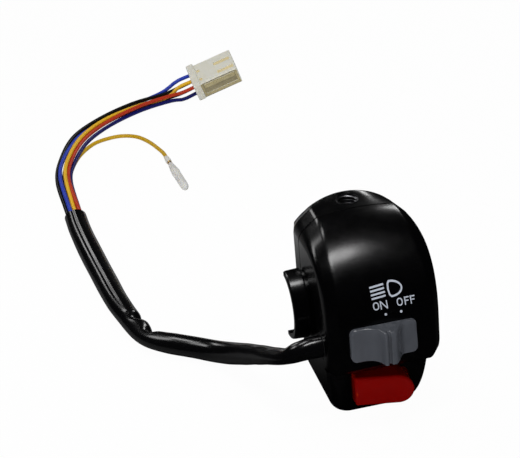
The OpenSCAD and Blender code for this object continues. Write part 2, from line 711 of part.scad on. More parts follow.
module start_plunger() color("#e6e2d6") {
  intersection() {
    rod_y(plunger_r, plunger_x, paddle_z, plunger_tip - past, plunger_tip + stem_l);
    translate([plunger_x, plunger_tip + dome_r, paddle_z]) union() {
      sphere(r = dome_r);
      rod_y(plunger_r + past, 0, 0, 0, stem_l);
    }
  }
  rod_y(flange_r, plunger_x, paddle_z, plunger_tip + stem_l - hair, flange_back);
  rod_y(tail_r, plunger_x, paddle_z, flange_back - hair, flange_back + tail_l);
}

module start_bridge() color("#b87333") difference() {
  span([plunger_x - bridge_half, flange_back, paddle_z - stud_z - stud_r],
       [plunger_x + bridge_half, bridge_back, paddle_z + stud_z + stud_r]);
  rod_y(tail_r + run, plunger_x, paddle_z, flange_back - past, bridge_back + past);
}

module start_contact_base() color("#6b4a2b") difference() {
  span([plunger_x - base_half, base_front, paddle_z - base_h / 2],
       [plunger_x + base_half, base_back, paddle_z + base_h / 2]);
  rod_y(tail_r + run, plunger_x, paddle_z, base_front - past, base_back + past);
  for (s = [-1, 1]) {
    rod_y(rivet_core + run, plunger_x, paddle_z + s * stud_z, base_front - past, base_back + past);
    rod_y(small_r + run, plunger_x + s * pillar_x, paddle_z, base_front - past, base_back + past);
  }
}

module start_fixed_contacts() color("#d0a558") for (s = [-1, 1]) {
  rod_y(stud_r, plunger_x, paddle_z + s * stud_z, base_front - stud_h, base_front);
  rod_y(rivet_core, plunger_x, paddle_z + s * stud_z, base_front - hair, base_back + rivet_tail);
}

module start_base_screws() color("#a9abad") for (s = [-1, 1]) {
  rod_y(small_r, plunger_x + s * pillar_x, paddle_z, base_front - small_grip, base_back + hair);
  rod_y(small_head_r, plunger_x + s * pillar_x, paddle_z, base_back, base_back + small_head_h);
}

// A tube of n sides: rings at points, square to the tangents, turned so that a corner lies opposite ups
module tube(points, tangents, ups, r, n) {
  rings = len(points);
  verts = [for (i = [0 : rings - 1])
    let (side = unit(cross(tangents[i], ups[i])), up = cross(side, tangents[i]))
    for (k = [0 : n - 1]) points[i] + r * (cos(360 * k / n - 90) * side + sin(360 * k / n - 90) * up)];
  faces = concat(
    [for (i = [0 : rings - 2], k = [0 : n - 1]) [i * n + k, i * n + (k + 1) % n, (i + 1) * n + (k + 1) % n]],
    [for (i = [0 : rings - 2], k = [0 : n - 1]) [i * n + k, (i + 1) * n + (k + 1) % n, (i + 1) * n + k]],
    [[for (k = [n - 1 : -1 : 0]) k]],
    [[for (k = [0 : n - 1]) (rings - 1) * n + k]]);
  polyhedron(verts, faces);
}
function tangents_of(p) = [for (i = [0 : len(p) - 1])
  unit(p[min(i + 1, len(p) - 1)] - p[max(i - 1, 0)])];
// A cord along hand-chosen points
module cord(points, r, n) {
  tube(points, tangents_of(points), [for (p = points) [0, 0, 1]], r, n);
}
// A spring along +Z from the origin, one unbroken wire
module coil(mean_r, wire_r, length, turns) {
  steps = 8 * turns;
  climb = length - 2 * wire_r;
  points = [for (i = [0 : steps]) let (a = 45 * i)
    [mean_r * cos(a), mean_r * sin(a), wire_r + climb * i / steps]];
  slope = climb / (2 * PI * mean_r * turns);
  tangents = [for (i = [0 : steps]) let (a = 45 * i) unit([-sin(a), cos(a), slope])];
  ups = [for (i = [0 : steps]) let (a = 45 * i) [cos(a), sin(a), 0]];
  tube(points, tangents, ups, wire_r, 6);
}

module start_spring() color("#c4c6c9")
  translate([plunger_x, bridge_back + run, paddle_z]) rotate([-90, 0, 0])
    coil(tail_r + coil_r + spring_room, coil_r, base_front - bridge_back - 2 * run, coil_turns);

module detent_spring() color("#c4c6c9")
  translate([ball_x, ball_y, carrier_top - detent_depth + run])
    coil(ball_r - detent_wire_r - detent_room, detent_wire_r,
         ball_z - ball_r - carrier_top + detent_depth - 2 * run, detent_turns);

// Leads from the light contacts, each in a lane of its own behind the board
module light_leads() color("#20242c") for (i = [0 : 2]) {
  x = rivet_x + i * rivet_pitch;
  y = board_back + rivet_tail;
  lane = y + (i + 1) * lead_lane;
  end = [entry_in, entry[0] + (i - 1) * lead_lane, entry[1] + lead_high];
  cord([[x, y, contact_z], [x, lane - lead_turn, contact_z], [x - lead_turn, lane, contact_z],
        [entry_in + lead_reach, lane, contact_z], end + lead_run, end], lead_r, lead_sides);
}

// Leads from the starter contacts, round the screw boss and up to the loom
module start_leads() color("#20242c") {
  y = base_back + rivet_tail;
  upper = paddle_z + stud_z;
  lower = paddle_z - stud_z;
  upper_end = [entry_in, entry[0] + upper_spot[0], entry[1] + upper_spot[1]];
  lower_end = [entry_in, entry[0] + lower_spot[0], entry[1] + lower_spot[1]];
  cord(concat([for (p = upper_start) [plunger_x, y, upper] + p], upper_way,
              [upper_end + lead_run, upper_end]),
       lead_r, lead_sides);
  cord(concat([for (p = lower_start) [plunger_x, y, lower] + p], lower_way,
              [lower_end + lead_run, lower_end]),
       lead_r, lead_sides);
}

module cable_grommet() color("#15161a") translate([0, entry[0], entry[1]]) rotate([0, 90, 0]) difference() {
  union() {
    translate([0, 0, -half_w]) cylinder(r = sleeve_r + grommet_wall, h = wall + hair);
    translate([0, 0, wall - half_w]) cylinder(r = sleeve_r + grommet_grow, h = grommet_lip);
  }
  translate([0, 0, -half_w - past]) cylinder(r = sleeve_r + run, h = wall + grommet_lip + 2 * past);
}

module cable_sleeve() color("#16171a") cord(sleeve_route, sleeve_r, 10);

// A point of the connector's own frame, turned about X, then Y, then Z
function turned(p, a) = let (
  q = [p[0], p[1] * cos(a[0]) - p[2] * sin(a[0]), p[1] * sin(a[0]) + p[2] * cos(a[0])],
  r = [q[0] * cos(a[1]) + q[2] * sin(a[1]), q[1], q[2] * cos(a[1]) - q[0] * sin(a[1])])
  [r[0] * cos(a[2]) - r[1] * sin(a[2]), r[0] * sin(a[2]) + r[1] * cos(a[2]), r[2]];

// Wires in two layers: lay and way count to the right in the bundle and in the connector
wire_dirs = tangents_of(wire_route);
wire_sides = 8;
function right_of(d) = [d[1], -d[0]];
function wire_points(lay, way, row) = concat(
  [for (i = [0 : len(wire_route) - 1])
    let (in_mouth = i < 2,
         aside = lay * (in_mouth ? mouth_pitch : lay_pitch),
         p = wire_route[i] + aside * right_of(wire_dirs[in_mouth ? 0 : i]),
         z = in_mouth ? mouth[2] + mouth_rows[row] : floor_z + lay_low + row * lay_rise)
    [p[0], p[1], z]],
  [for (back = [plug_lead, 0])
    plug_place + turned([-back, -way * way_pitch, row == 0 ? row_low : row_high], plug_turns)]);
module wire(lay, way, row) {
  cord(wire_points(lay, way, row), wire_r, wire_sides);
}
module wire_black_lower() color("#17181b") wire(-1.5, -1, 0);
module wire_black_upper() color("#17181b") wire(0, 0, 0);
module wire_dark_blue() color("#1f2a5c") wire(1.5, 1, 0);
module wire_blue() color("#2a3f9e") wire(-0.8, -1, 1);
module wire_yellow() color("#d9a41c") wire(0.2, 0, 1);
module wire_red() color("#c2452a") wire(1.2, 1, 1);
module wire_tail() color("#d9a41c") cord(tail_route, wire_r, wire_sides);

// Pieces of the connector, drawn along +X from its rear end
module at_plug() {
  translate(plug_place) rotate(plug_turns) children();
}
module each_way() {
  for (a = [-1 : 1], z = [row_low, row_high]) translate([0, a * way_pitch, z]) children();
}
module connector_housing() color("#e4e1d3") at_plug() difference() {
  union() {
    span([0, -plug_w / 2 - flange_grow, 0], [flange_l, plug_w / 2 + flange_grow, plug_h + flange_grow]);
    span([flange_l - hair, -plug_w / 2, 0], [plug_l, plug_w / 2, plug_h]);
  }
  each_way() span([way_start, -way_half, -way_half_h], [plug_l + past, way_half, way_half_h]);
}
module connector_terminals() color("#c9a24a") at_plug() each_way()
  span([way_start, -blade_half, -blade_half_h], [plug_l - blade_set, blade_half, blade_half_h]);

// Pieces of the bullet terminal, drawn from the end of the yellow tail
module at_bullet() {
  translate(tail_end) rotate([90, 0, bullet_turn]) children();
}
module bullet_terminal() color("#c8b46a") at_bullet() {
  cylinder(r = crimp_r, h = crimp_l);
  translate([0, 0, crimp_l + crimp_bare]) cylinder(r = bullet_r, h = bullet_l - bullet_r);
  translate([0, 0, crimp_l - hair]) cylinder(r = crimp_r - run, h = crimp_bare + 2 * hair);
  translate([0, 0, crimp_l + crimp_bare + bullet_l - bullet_r - hair])
    cylinder(r1 = bullet_r, r2 = bullet_r / 2, h = bullet_r);
}
module bullet_sleeve() color("#e8ecec") at_bullet() difference() {
  cylinder(r = crimp_r + run + crimp_wall, h = crimp_l);
  translate([0, 0, -past]) cylinder(r = crimp_r + run, h = crimp_l + 2 * past);
}

front_housing();
rear_housing();
housing_screws();
slider_cap();
slider_screw();
slider_carrier();
light_contact_strip();
detent_ball();
detent_spring();
light_contact_board();
light_fixed_contacts();
light_board_screws();
light_leads();
start_paddle();
paddle_pin();
start_plunger();
start_bridge();
start_spring();
start_contact_base();
start_fixed_contacts();
start_base_screws();
start_leads();
cable_grommet();
cable_sleeve();
wire_black_upper();
wire_black_lower();
wire_blue();
wire_red();
wire_dark_blue();
wire_yellow();
wire_tail();
connector_housing();
connector_terminals();
bullet_terminal();
bullet_sleeve();
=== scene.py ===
import bmesh
import bpy
from math import asin, ceil, copysign, cos, exp, hypot, pi, radians, sin, sqrt
from mathutils import Matrix, Vector


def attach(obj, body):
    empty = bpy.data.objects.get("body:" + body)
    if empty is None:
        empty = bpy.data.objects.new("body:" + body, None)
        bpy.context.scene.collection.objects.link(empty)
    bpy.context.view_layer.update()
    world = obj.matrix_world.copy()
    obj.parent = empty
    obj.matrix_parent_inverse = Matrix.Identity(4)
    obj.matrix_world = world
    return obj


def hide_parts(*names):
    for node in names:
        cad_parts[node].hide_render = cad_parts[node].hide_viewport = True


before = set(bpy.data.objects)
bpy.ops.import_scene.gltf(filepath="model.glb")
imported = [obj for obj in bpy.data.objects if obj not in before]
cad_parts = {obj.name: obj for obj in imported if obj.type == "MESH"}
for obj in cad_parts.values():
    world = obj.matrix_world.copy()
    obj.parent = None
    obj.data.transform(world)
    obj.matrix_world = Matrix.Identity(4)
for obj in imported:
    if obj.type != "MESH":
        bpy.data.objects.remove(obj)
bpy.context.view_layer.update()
scene = bpy.context.scene
scene.view_settings.view_transform = "Standard"

# Sizes repeated from the CAD source, in mm
MM = 0.001
HALF = 20.75
WALL = 2.2
BORE = 11.15
SADDLE = 13.35
TOP = 33.2
CROWN = 1.3
SHOULDER = 26.3
FACE = 36.5
SIDE = 30.0
TOP_LEFT, TOP_RIGHT = 7.0, 5.5
BEVEL = 3.8
LOW_LEFT, LOW_RIGHT = 1.6, 4.8
STEP_DROP, STEP_R = 14.9, 7.6
CREASE = STEP_R - STEP_DROP
LOWER_DEPTH, LOWER_REACH, LOWER_FLAT = 28.5, 16.4, 4.5
BASE = 32.2
CORNER = 8.0
REAR_SIDE, REAR_DEPTH, REAR_ROUND = 8.5, 13.8, 1.6
ARCH_R, ARCH_MID, ARCH_TURN = 25.0, 9.0, 40.0
MIRROR_Y, MIRROR_FLOOR = 7.6, 16.0
JOINT, JOINT_EASE = 0.4, 0.12
SCREWS = [(13.0, 20.5), (-11.0, -22.2)]
BOSS_R, PILOT_R, SHANK_R, POCKET_R = 4.4, 2.12, 2.4, 4.55
SLIDER_X, SLIDER_Z, SLIDER_W, SLIDER_H = -1.95, -0.2, 24.0, 12.8
PADDLE_LEFT, PADDLE_RIGHT, PADDLE_Z, PADDLE_H = -11.8, 8.6, -22.6, 11.4
PADDLE_LOW, PADDLE_HIGH = 3.6, 8.4
PADDLE_BACK = -25.9
PIN_X, PIN_Y, PIN_R, KNUCKLE_R = -9.6, -24.6, 1.05, 1.9
ENTRY_Y, ENTRY_Z, ENTRY_R = -22.9, -6.5, 4.98
FLOOR = -BASE
PLUG = (-4.3, 271.0, -29.7)
PLUG_TURNS = (16.0, -17.7, -4.5)
PLUG_L, PLUG_HALF, PLUG_H, FLANGE_L, FLANGE_OUT = 22.9, 7.8, 9.5, 3.5, 1.0
WAY_PITCH = 4.8
WAY_ROWS = (2.8, 6.8)
WIRE_R = 0.9
TAIL_END, TAIL_TURN = (-33.15, 202.0, -30.65), 3.08


# Small tools for shapes

def bend(a, b, c, d, t):
    """A point on a cubic line with the ends a and d and the pulls b and c."""
    k = 1 - t
    w = (k ** 3, 3 * k * k * t, 3 * k * t * t, t ** 3)
    return tuple(sum(q * p[i] for q, p in zip(w, (a, b, c, d))) for i in range(len(a)))


def blend(a, b, t):
    return a + (b - a) * t


def smooth(t):
    t = min(1.0, max(0.0, t))
    return t * t * (3 - 2 * t)


def bump_at(s, mid, half):
    return exp(-((s - mid) / half) ** 2)


def on_circle(r, j, count):
    a = 2 * pi * j / count
    return r * cos(a), r * sin(a)


def arc(x, z, rx, rz, start, turn, steps):
    """Points of an arc about a middle, from an angle in degrees through a turn."""
    out = []
    for i in range(steps + 1):
        a = radians(start + turn * i / steps)
        out.append((x + rx * cos(a), z + rz * sin(a)))
    return out


def at_y(y, outline):
    return [(x, y, z) for x, z in outline]


def solve(short, steps):
    """The share between 0 and 1 up to which short holds."""
    low, high = 0.0, 1.0
    for _ in range(steps):
        mid = (low + high) / 2
        if short(mid):
            low = mid
        else:
            high = mid
    return low


def round_corner(a, c, b, size, steps=4):
    """Points of a soft curve that takes the place of the corner c between a and b."""
    c = Vector(c)
    arms = (Vector(a) - c, Vector(b) - c)
    p, q = (c + arm.normalized() * min(size, 0.45 * arm.length) for arm in arms)
    out = []
    for i in range(steps + 1):
        t = i / steps
        out.append(p * (1 - t) ** 2 + c * 2 * t * (1 - t) + q * t * t)
    return out


def add_object(name, data):
    obj = bpy.data.objects.new(name, data)
    scene.collection.objects.link(obj)
    return obj


def make_mesh(name, points, faces):
    mesh = bpy.data.meshes.new(name)
    mesh.from_pydata([Vector(p) * MM for p in points], [], faces)
    mesh.validate()
    bm = bmesh.new()
    bm.from_mesh(mesh)
    bmesh.ops.remove_doubles(bm, verts=bm.verts, dist=1e-7)
    bmesh.ops.recalc_face_normals(bm, faces=bm.faces)
    bm.to_mesh(mesh)
    bm.free()
    return add_object(name, mesh)


def grid_faces(rows, cols, closed=False):
    faces = []
    last = cols if closed else cols - 1
    for i in range(rows - 1):
        for j in range(last):
            k = (j + 1) % cols
            a = i * cols
            faces.append((a + j, a + k, a + cols + k, a + cols + j))
    return faces


def loft(name, rings):
    """A closed solid through rings of the same count, with flat ends."""
    cols = len(rings[0])
    points = [p for ring in rings for p in ring]
    faces = grid_faces(len(rings), cols, True)
    faces.append(tuple(range(cols)))
    faces.append(tuple(range((len(rings) - 1) * cols, len(rings) * cols)))
    return make_mesh(name, points, faces)


def lathe(name, profile, sides, turn):
    """A closed solid of (radius, height) steps about Z, both ends capped, then turned and placed."""
    rings = []
    for r, z in profile:
        rings.append([turn @ Vector((*on_circle(r, j, sides), z)) for j in range(sides)])
    return loft(name, rings)


def rod(name, start, end, r, sides):
    start, end = Vector(start), Vector(end)
    axis = end - start
    turn = Matrix.Translation(start) @ axis.to_track_quat("Z", "Y").to_matrix().to_4x4()
    return lathe(name, [(r, 0), (r, axis.length)], sides, turn)


def block(name, low, high):
    (a, b, c), (d, e, f) = low, high
    ring = [(a, b), (d, b), (d, e), (a, e)]
    return loft(name, [[(x, y, z) for x, y in ring] for z in (c, f)])


def discard(obj):
    mesh = obj.data
    bpy.data.objects.remove(obj)
    bpy.data.meshes.remove(mesh)


ADD, LESS = "UNION", "DIFFERENCE"


def cut(target, *steps):
    """Applies boolean steps, each ADD or LESS and a tool, and removes the tools."""
    for i, (operation, tool) in enumerate(steps):
        mod = target.modifiers.new("cut%d" % i, "BOOLEAN")
        mod.operation = operation
        mod.solver = "EXACT"
        mod.object = tool
    graph = bpy.context.evaluated_depsgraph_get()
    graph.update()
    mesh = bpy.data.meshes.new_from_object(target.evaluated_get(graph))
    old = target.data
    target.modifiers.clear()
    target.data = mesh
    bpy.data.meshes.remove(old)
    for _, tool in steps:
        discard(tool)


def join(target, other):
    """Adds the mesh of other to target as it stands."""
    bm = bmesh.new()
    bm.from_mesh(target.data)
    bm.from_mesh(other.data)
    bm.to_mesh(target.data)
    bm.free()
    discard(other)


def dress(obj, angle, mats, weighted=True):
    """Smooth shading up to an angle in degrees, and the finishes."""
    obj.data.shade_smooth()
    obj.data.set_sharp_from_angle(angle=radians(angle))
    give(obj, *mats)
    if weighted:
        mod = obj.modifiers.new("normals", "WEIGHTED_NORMAL")
        mod.keep_sharp = True
        mod.weight = 80


def ease_edges(obj, keep):
    """Bevels the edges whose two ends pass keep."""
    bm = bmesh.new()
    bm.from_mesh(obj.data)
    edges = [e for e in bm.edges if all(keep(v.co / MM) for v in e.verts)]
    bmesh.ops.bevel(bm, geom=edges, offset=JOINT_EASE * MM, segments=1, profile=0.5, affect="EDGES")
    bm.to_mesh(obj.data)
    bm.free()


def runs_of(points):
    """Length along a line at each of its points."""
    runs = [0.0]
    for a, b in zip(points, points[1:]):
        runs.append(runs[-1] + (Vector(b) - Vector(a)).length)
    return runs


def length_of(points):
    return runs_of(points)[-1]


def smooth_route(points, count, span_steps=24):
    """Points evenly spaced on a Catmull-Rom line through a route."""
    pts = [Vector(p) for p in points]
    full = [2 * pts[0] - pts[1]] + pts + [2 * pts[-1] - pts[-2]]
    fine = []
    for i in range(1, len(full) - 2):
        p0, p1, p2, p3 = full[i - 1:i + 3]
        for j in range(span_steps):
            t = j / span_steps
            fine.append(0.5 * (2 * p1 + (p2 - p0) * t + (2 * p0 - 5 * p1 + 4 * p2 - p3) * t * t
                               + (3 * p1 - p0 - 3 * p2 + p3) * t ** 3))
    fine.append(pts[-1])
    run = runs_of(fine)
    out = []
    k = 0
    for i in range(count):
        s = run[-1] * i / (count - 1)
        while k < len(run) - 2 and run[k + 1] < s:
            k += 1
        gap = run[k + 1] - run[k]
        out.append(fine[k].lerp(fine[k + 1], (s - run[k]) / gap if gap else 0))
    return out


def plug_frame():
    """The connector's own frame, +X from its rear end to its front, as a matrix in mm."""
    a, b, c = (radians(t) for t in PLUG_TURNS)
    turn = Matrix.Rotation(c, 4, "Z") @ Matrix.Rotation(b, 4, "Y") @ Matrix.Rotation(a, 4, "X")
    return Matrix.Translation(PLUG) @ turn


# Camera

def add_camera():
    data = bpy.data.cameras.new("camera")
    data.sensor_fit = "HORIZONTAL"
    data.sensor_width = 36
    data.lens = 131.54
    data.clip_start = 0.01
    obj = add_object("camera", data)
    right = Vector((0.9674, -0.2407, -0.0787))
    up = Vector((0.1791, 0.4311, 0.8843))
    ahead = Vector((0.1789, 0.8696, -0.4602))
    place = Vector((-0.1537, -0.5807, 0.3389))
    rows = [(right[i], up[i], -ahead[i], place[i]) for i in range(3)]
    obj.matrix_world = Matrix(rows + [(0, 0, 0, 1)])
    scene.camera = obj


add_camera()


# Materials

def hold(node, values):
    for key, value in values.items():
        node.inputs[key.replace("_", " ")].default_value = value


class Tree:
    """A node tree with short calls for the nodes used here."""

    def __init__(self, tree):
        self.tree = tree
        tree.nodes.clear()

    def add(self, kind, **values):
        """A new node with constants on its sockets, named with _ for a space."""
        node = self.tree.nodes.new(kind)
        hold(node, values)
        return node

    def link(self, a, b):
        self.tree.links.new(a, b)

    def fill(self, sockets, values):
        """Links each value that is a socket, and sets the others as constants."""
        for socket, value in zip(sockets, values):
            if isinstance(value, bpy.types.NodeSocket):
                self.link(value, socket)
            else:
                socket.default_value = value

    def math(self, operation, a, b):
        node = self.add("ShaderNodeMath")
        node.operation = operation
        self.fill(node.inputs, (a, b))
        return node.outputs[0]

    def mix_shaders(self, share, a, b):
        node = self.add("ShaderNodeMixShader")
        self.fill(node.inputs, (share, a, b))
        return node.outputs[0]

    def seen(self, path):
        """One for rays that show a thing to the camera, straight or through something clear."""
        return self.math("MAXIMUM", path["Is Camera Ray"], path["Is Transmission Ray"])


class Nodes(Tree):
    """The node tree of a new material with one principled shader."""

    def __init__(self, name):
        self.mat = bpy.data.materials.new(name)
        self.mat.use_nodes = True
        super().__init__(self.mat.node_tree)
        self.out = self.add("ShaderNodeOutputMaterial")
        self.bsdf = self.add("ShaderNodeBsdfPrincipled")
        self.link(self.bsdf.outputs[0], self.out.inputs[0])
        self.place = self.add("ShaderNodeTexCoord").outputs["Object"]

    def feed(self, socket, value):
        self.link(value, self.bsdf.inputs[socket])

    def set(self, **values):
        hold(self.bsdf, values)

    def noise(self, scale, detail=3.0, rough=0.55, stretch=None):
        node = self.add("ShaderNodeTexNoise", Scale=scale, Detail=detail, Roughness=rough)
        source = self.place
        if stretch:
            mapping = self.add("ShaderNodeMapping", Scale=stretch)
            self.link(self.place, mapping.inputs["Vector"])
            source = mapping.outputs["Vector"]
        self.link(source, node.inputs["Vector"])
        return node.outputs["Fac"]

    def spread(self, value, low, high, start=0.3, end=0.7):
        node = self.add("ShaderNodeMapRange", From_Min=start, From_Max=end, To_Min=low, To_Max=high)
        self.link(value, node.inputs["Value"])
        return node.outputs["Result"]

    def mix(self, share, a, b):
        node = self.add("ShaderNodeMix")
        node.data_type = "RGBA"
        colours = (c + (1.0,) if isinstance(c, tuple) else c for c in (a, b))
        self.fill([node.inputs[key] for key in ("Factor", "A", "B")], (share, *colours))
        return node.outputs["Result"]

    def mottle(self, scale, colour, other, detail=4):
        return self.mix(self.spread(self.noise(scale, detail), 0.0, 1.0), colour, other)

    def bump(self, height, strength, distance, under=None):
        node = self.add("ShaderNodeBump", Strength=strength, Distance=distance)
        self.link(height, node.inputs["Height"])
        if under:
            self.link(under, node.inputs["Normal"])
        return node.outputs["Normal"]

    def edges(self):
        node = self.add("ShaderNodeNewGeometry")
        return self.spread(node.outputs["Pointiness"], 0.0, 1.0, 0.52, 0.62)


def plastic(name, colour, other, rough, grain=1800, depth=0.00004, strength=0.25, edge_wear_and_highlight=None, **values):
    """Moulded or painted surface: mottled colour, fine grain, uneven gloss and edges lighter by wear and
    painted highlight.
    """
    n = Nodes(name)
    tint = n.mottle(90, colour, other)
    if edge_wear_and_highlight:
        # Lighter colour on sharp edges: partly wear, partly a painted highlight along the rims
        edge_wear_and_highlight_mask = n.math("MULTIPLY", n.edges(), n.spread(n.noise(700, 3), 0.0, 0.7))
        tint = n.mix(edge_wear_and_highlight_mask, tint, edge_wear_and_highlight)
    n.feed("Base Color", tint)
    n.feed("Roughness", n.spread(n.noise(260, 4), *rough))
    broad = n.bump(n.noise(140, 2), 0.06, 0.0002)
    n.feed("Normal", n.bump(n.noise(grain, 2), strength, depth, broad))
    n.set(**values)
    return n.mat


def metal(name, colour, other, rough, stretch=(1, 1, 14)):
    """Turned or drawn metal with fine lines and dull spots."""
    n = Nodes(name)
    n.feed("Base Color", n.mottle(500, colour, other))
    lines = n.noise(900, 3, 0.6, stretch)
    n.feed("Roughness", n.spread(lines, *rough))
    n.feed("Normal", n.bump(lines, 0.15, 0.00003))
    n.set(Metallic=1.0)
    return n.mat


def pvc(name, colour, other):
    """Smooth wire insulation."""
    return plastic(name, colour, other, (0.36, 0.46), 300, 0.00002, 0.04, Specular_IOR_Level=0.4)


def sleeve_skin():
    """Soft black tube with an uneven shine."""
    n = Nodes("sleeve_pvc")
    n.feed("Base Color", n.mottle(60, (0.0014, 0.0014, 0.0017), (0.0026, 0.0026, 0.0030)))
    n.feed("Roughness", n.spread(n.noise(60, 3), 0.17, 0.23))
    n.set(Specular_IOR_Level=0.5)
    return n.mat


def nylon(name, colour, other, clear=0.0):
    """Milky moulded nylon, a little see-through where clear is given."""
    n = Nodes(name)
    n.feed("Base Color", n.mottle(160, colour, other))
    n.feed("Roughness", n.spread(n.noise(420, 3), 0.34, 0.5))
    n.feed("Normal", n.bump(n.noise(400, 2), 0.06, 0.00005))
    n.set(Subsurface_Weight=0.25, Subsurface_Radius=(0.002, 0.0018, 0.0014), Subsurface_Scale=0.5,
          Transmission_Weight=clear, IOR=1.5)
    return n.mat


# The shells' faintly lighter edge colour is partly wear, partly a painted highlight
PAINT = plastic("front_paint", (0.0005, 0.0005, 0.0007), (0.0009, 0.0009, 0.0012), (0.19, 0.24),
                2600, 0.00003, 0.16, (0.004, 0.004, 0.0045), Specular_IOR_Level=0.42)
REAR_PAINT = plastic("rear_paint", (0.0009, 0.0009, 0.0011), (0.0016, 0.0016, 0.0019), (0.20, 0.26),
                     2200, 0.00004, 0.20, (0.005, 0.005, 0.0055), Specular_IOR_Level=0.40)
# Painted highlight: the much lighter edge colour stands for light along the slider's rims
GREY = plastic("grey_plastic", (0.070, 0.075, 0.088), (0.082, 0.087, 0.100), (0.17, 0.24),
               2400, 0.00003, 0.25, (0.34, 0.36, 0.40))
# Painted highlight: the orange edge colour stands for light along the paddle's rims
RED = plastic("red_plastic", (0.19, 0.0006, 0.0002), (0.21, 0.0010, 0.0003), (0.13, 0.20),
              1500, 0.00002, 0.10, (0.60, 0.05, 0.004), Specular_IOR_Level=0.30)
NATURAL = plastic("natural_plastic", (0.70, 0.66, 0.55), (0.62, 0.58, 0.47), (0.40, 0.55))
BOARD = plastic("board_brown", (0.16, 0.08, 0.03), (0.11, 0.05, 0.02), (0.45, 0.6), 900)
RUBBER = plastic("grommet_rubber", (0.012, 0.012, 0.013), (0.018, 0.018, 0.019), (0.55, 0.7), 1400)
INK = plastic("lettering_ink", (0.50, 0.54, 0.62), (0.56, 0.60, 0.68), (0.5, 0.62), 1600, 0.00002, 0.2)
BRASS = metal("brass", (0.72, 0.50, 0.20), (0.60, 0.40, 0.15), (0.24, 0.4))
STEEL = metal("steel", (0.56, 0.57, 0.59), (0.46, 0.47, 0.49), (0.26, 0.42))
STEEL_DARK = metal("dark_thread", (0.20, 0.20, 0.21), (0.13, 0.13, 0.14), (0.3, 0.45), (1, 1, 3))
PVC_BLACK = pvc("pvc_black", (0.0014, 0.0014, 0.0016), (0.0024, 0.0024, 0.0026))
PVC_BLUE = pvc("pvc_blue", (0.016, 0.044, 0.46), (0.020, 0.056, 0.54))
PVC_DARK = pvc("pvc_dark_blue", (0.0016, 0.004, 0.12), (0.0022, 0.005, 0.15))
PVC_RED = pvc("pvc_red", (0.50, 0.030, 0.004), (0.60, 0.044, 0.006))
PVC_YELLOW = pvc("pvc_yellow", (0.90, 0.50, 0.010), (0.96, 0.56, 0.014))
# A darker copy of the yellow, used for the tail wire
PVC_YELLOW_DARKER = pvc("pvc_yellow_darker", (0.62, 0.36, 0.004), (0.70, 0.42, 0.006))
SLEEVE = sleeve_skin()
NYLON = nylon("nylon", (0.86, 0.84, 0.74), (0.80, 0.78, 0.67))
# Painted shade: a darker copy of the nylon for the rib on the connector's side
NYLON_SIDE_PAINTED_SHADE = nylon("nylon_side_painted_shade", (0.56, 0.48, 0.26), (0.50, 0.43, 0.24))
TAN = nylon("nylon_over_metal", (0.92, 0.78, 0.44), (0.84, 0.70, 0.38))
# Painted shade: a darker tan copy for the side pockets' floors, where the terminals also show through
TAN_PAINTED_SHADE = nylon("nylon_over_metal_painted_shade", (0.40, 0.35, 0.21), (0.35, 0.30, 0.18))
# Painted shade: a darker copy of the nylon along the lower edge of one side
NYLON_FOOT_PAINTED_SHADE = nylon("nylon_foot_painted_shade", (0.36, 0.33, 0.25), (0.31, 0.29, 0.22))
CLEAR = nylon("clear_vinyl", (0.90, 0.89, 0.85), (0.84, 0.83, 0.78), 0.12)


def give(obj, *mats):
    obj.data.materials.clear()
    for mat in mats:
        obj.data.materials.append(mat)


# Cords: the sleeve and the seven wires

def cord_mesh(name, points, section, sides):
    """A tube on a line. section(share, angle) gives the reach aside and the reach up."""
    rings = []
    count = len(points)
    for i, p in enumerate(points):
        ahead = (points[min(i + 1, count - 1)] - points[max(i - 1, 0)]).normalized()
        aside = ahead.cross(Vector((0, 0, 1))).normalized()
        up = aside.cross(ahead).normalized()
        ring = []
        for j in range(sides):
            across, high = section(i / (count - 1), 2 * pi * j / sides)
            ring.append(p + aside * across + up * high)
        rings.append(ring)
    return loft(name, rings)


SLEEVE_ROUTE = [
    (-17.15, -22.9, -6.5), (-24, -22.9, -6.5), (-29, -22.3, -7.4), (-33, -18.5, -10.5), (-36, -11, -14),
    (-39, -2, -18), (-42.5, 7, -22), (-46.5, 15.5, -25.6), (-51, 22.5, -27.7), (-57, 28.5, -28.2),
    (-64, 34, -28.2), (-70, 39, -28.2), (-74, 46, -28.2), (-76.5, 58, -28.2), (-79, 75, -28.2),
    (-80.5, 95, -28.2), (-82, 118, -28.2), (-83, 140, -28.2), (-83, 155, -28.2)]
KINK_POINT = 12
# Half widths of the sleeve at the points of its route, aside and up
SLEEVE_ASIDE = [
    4.0, 4.0, 4.0, 4.4, 4.6, 4.4, 4.3, 4.4, 4.5, 4.6, 4.6, 4.2, 4.2, 4.4, 4.7, 4.9, 4.9, 4.8, 4.7]
SLEEVE_UP = [
    4.0, 3.9, 3.5, 2.7, 2.9, 3.5, 4.0, 4.1, 4.0, 3.9, 3.9, 3.4, 3.3, 3.5, 3.6, 3.6, 3.6, 3.6, 3.7]
# Dents and swellings at the kink: place from it and reach as shares of the length, and size
FOLDS = [(-0.015, 0.012, 0.58), (0.046, 0.010, 0.46)]
SWELLS = [(0.020, 0.012, 0.10), (-0.045, 0.014, 0.06)]
BROWS = [(0.065, 0.010, 0.07)]
# Where round the sleeve the folds, the brow and the long line behind the kink lie
FOLD_TURN, BROW_TURN, LINE_TURN = radians(42), radians(80), radians(103)
LINE_DEPTH, RIPPLE = 0.085, 0.010


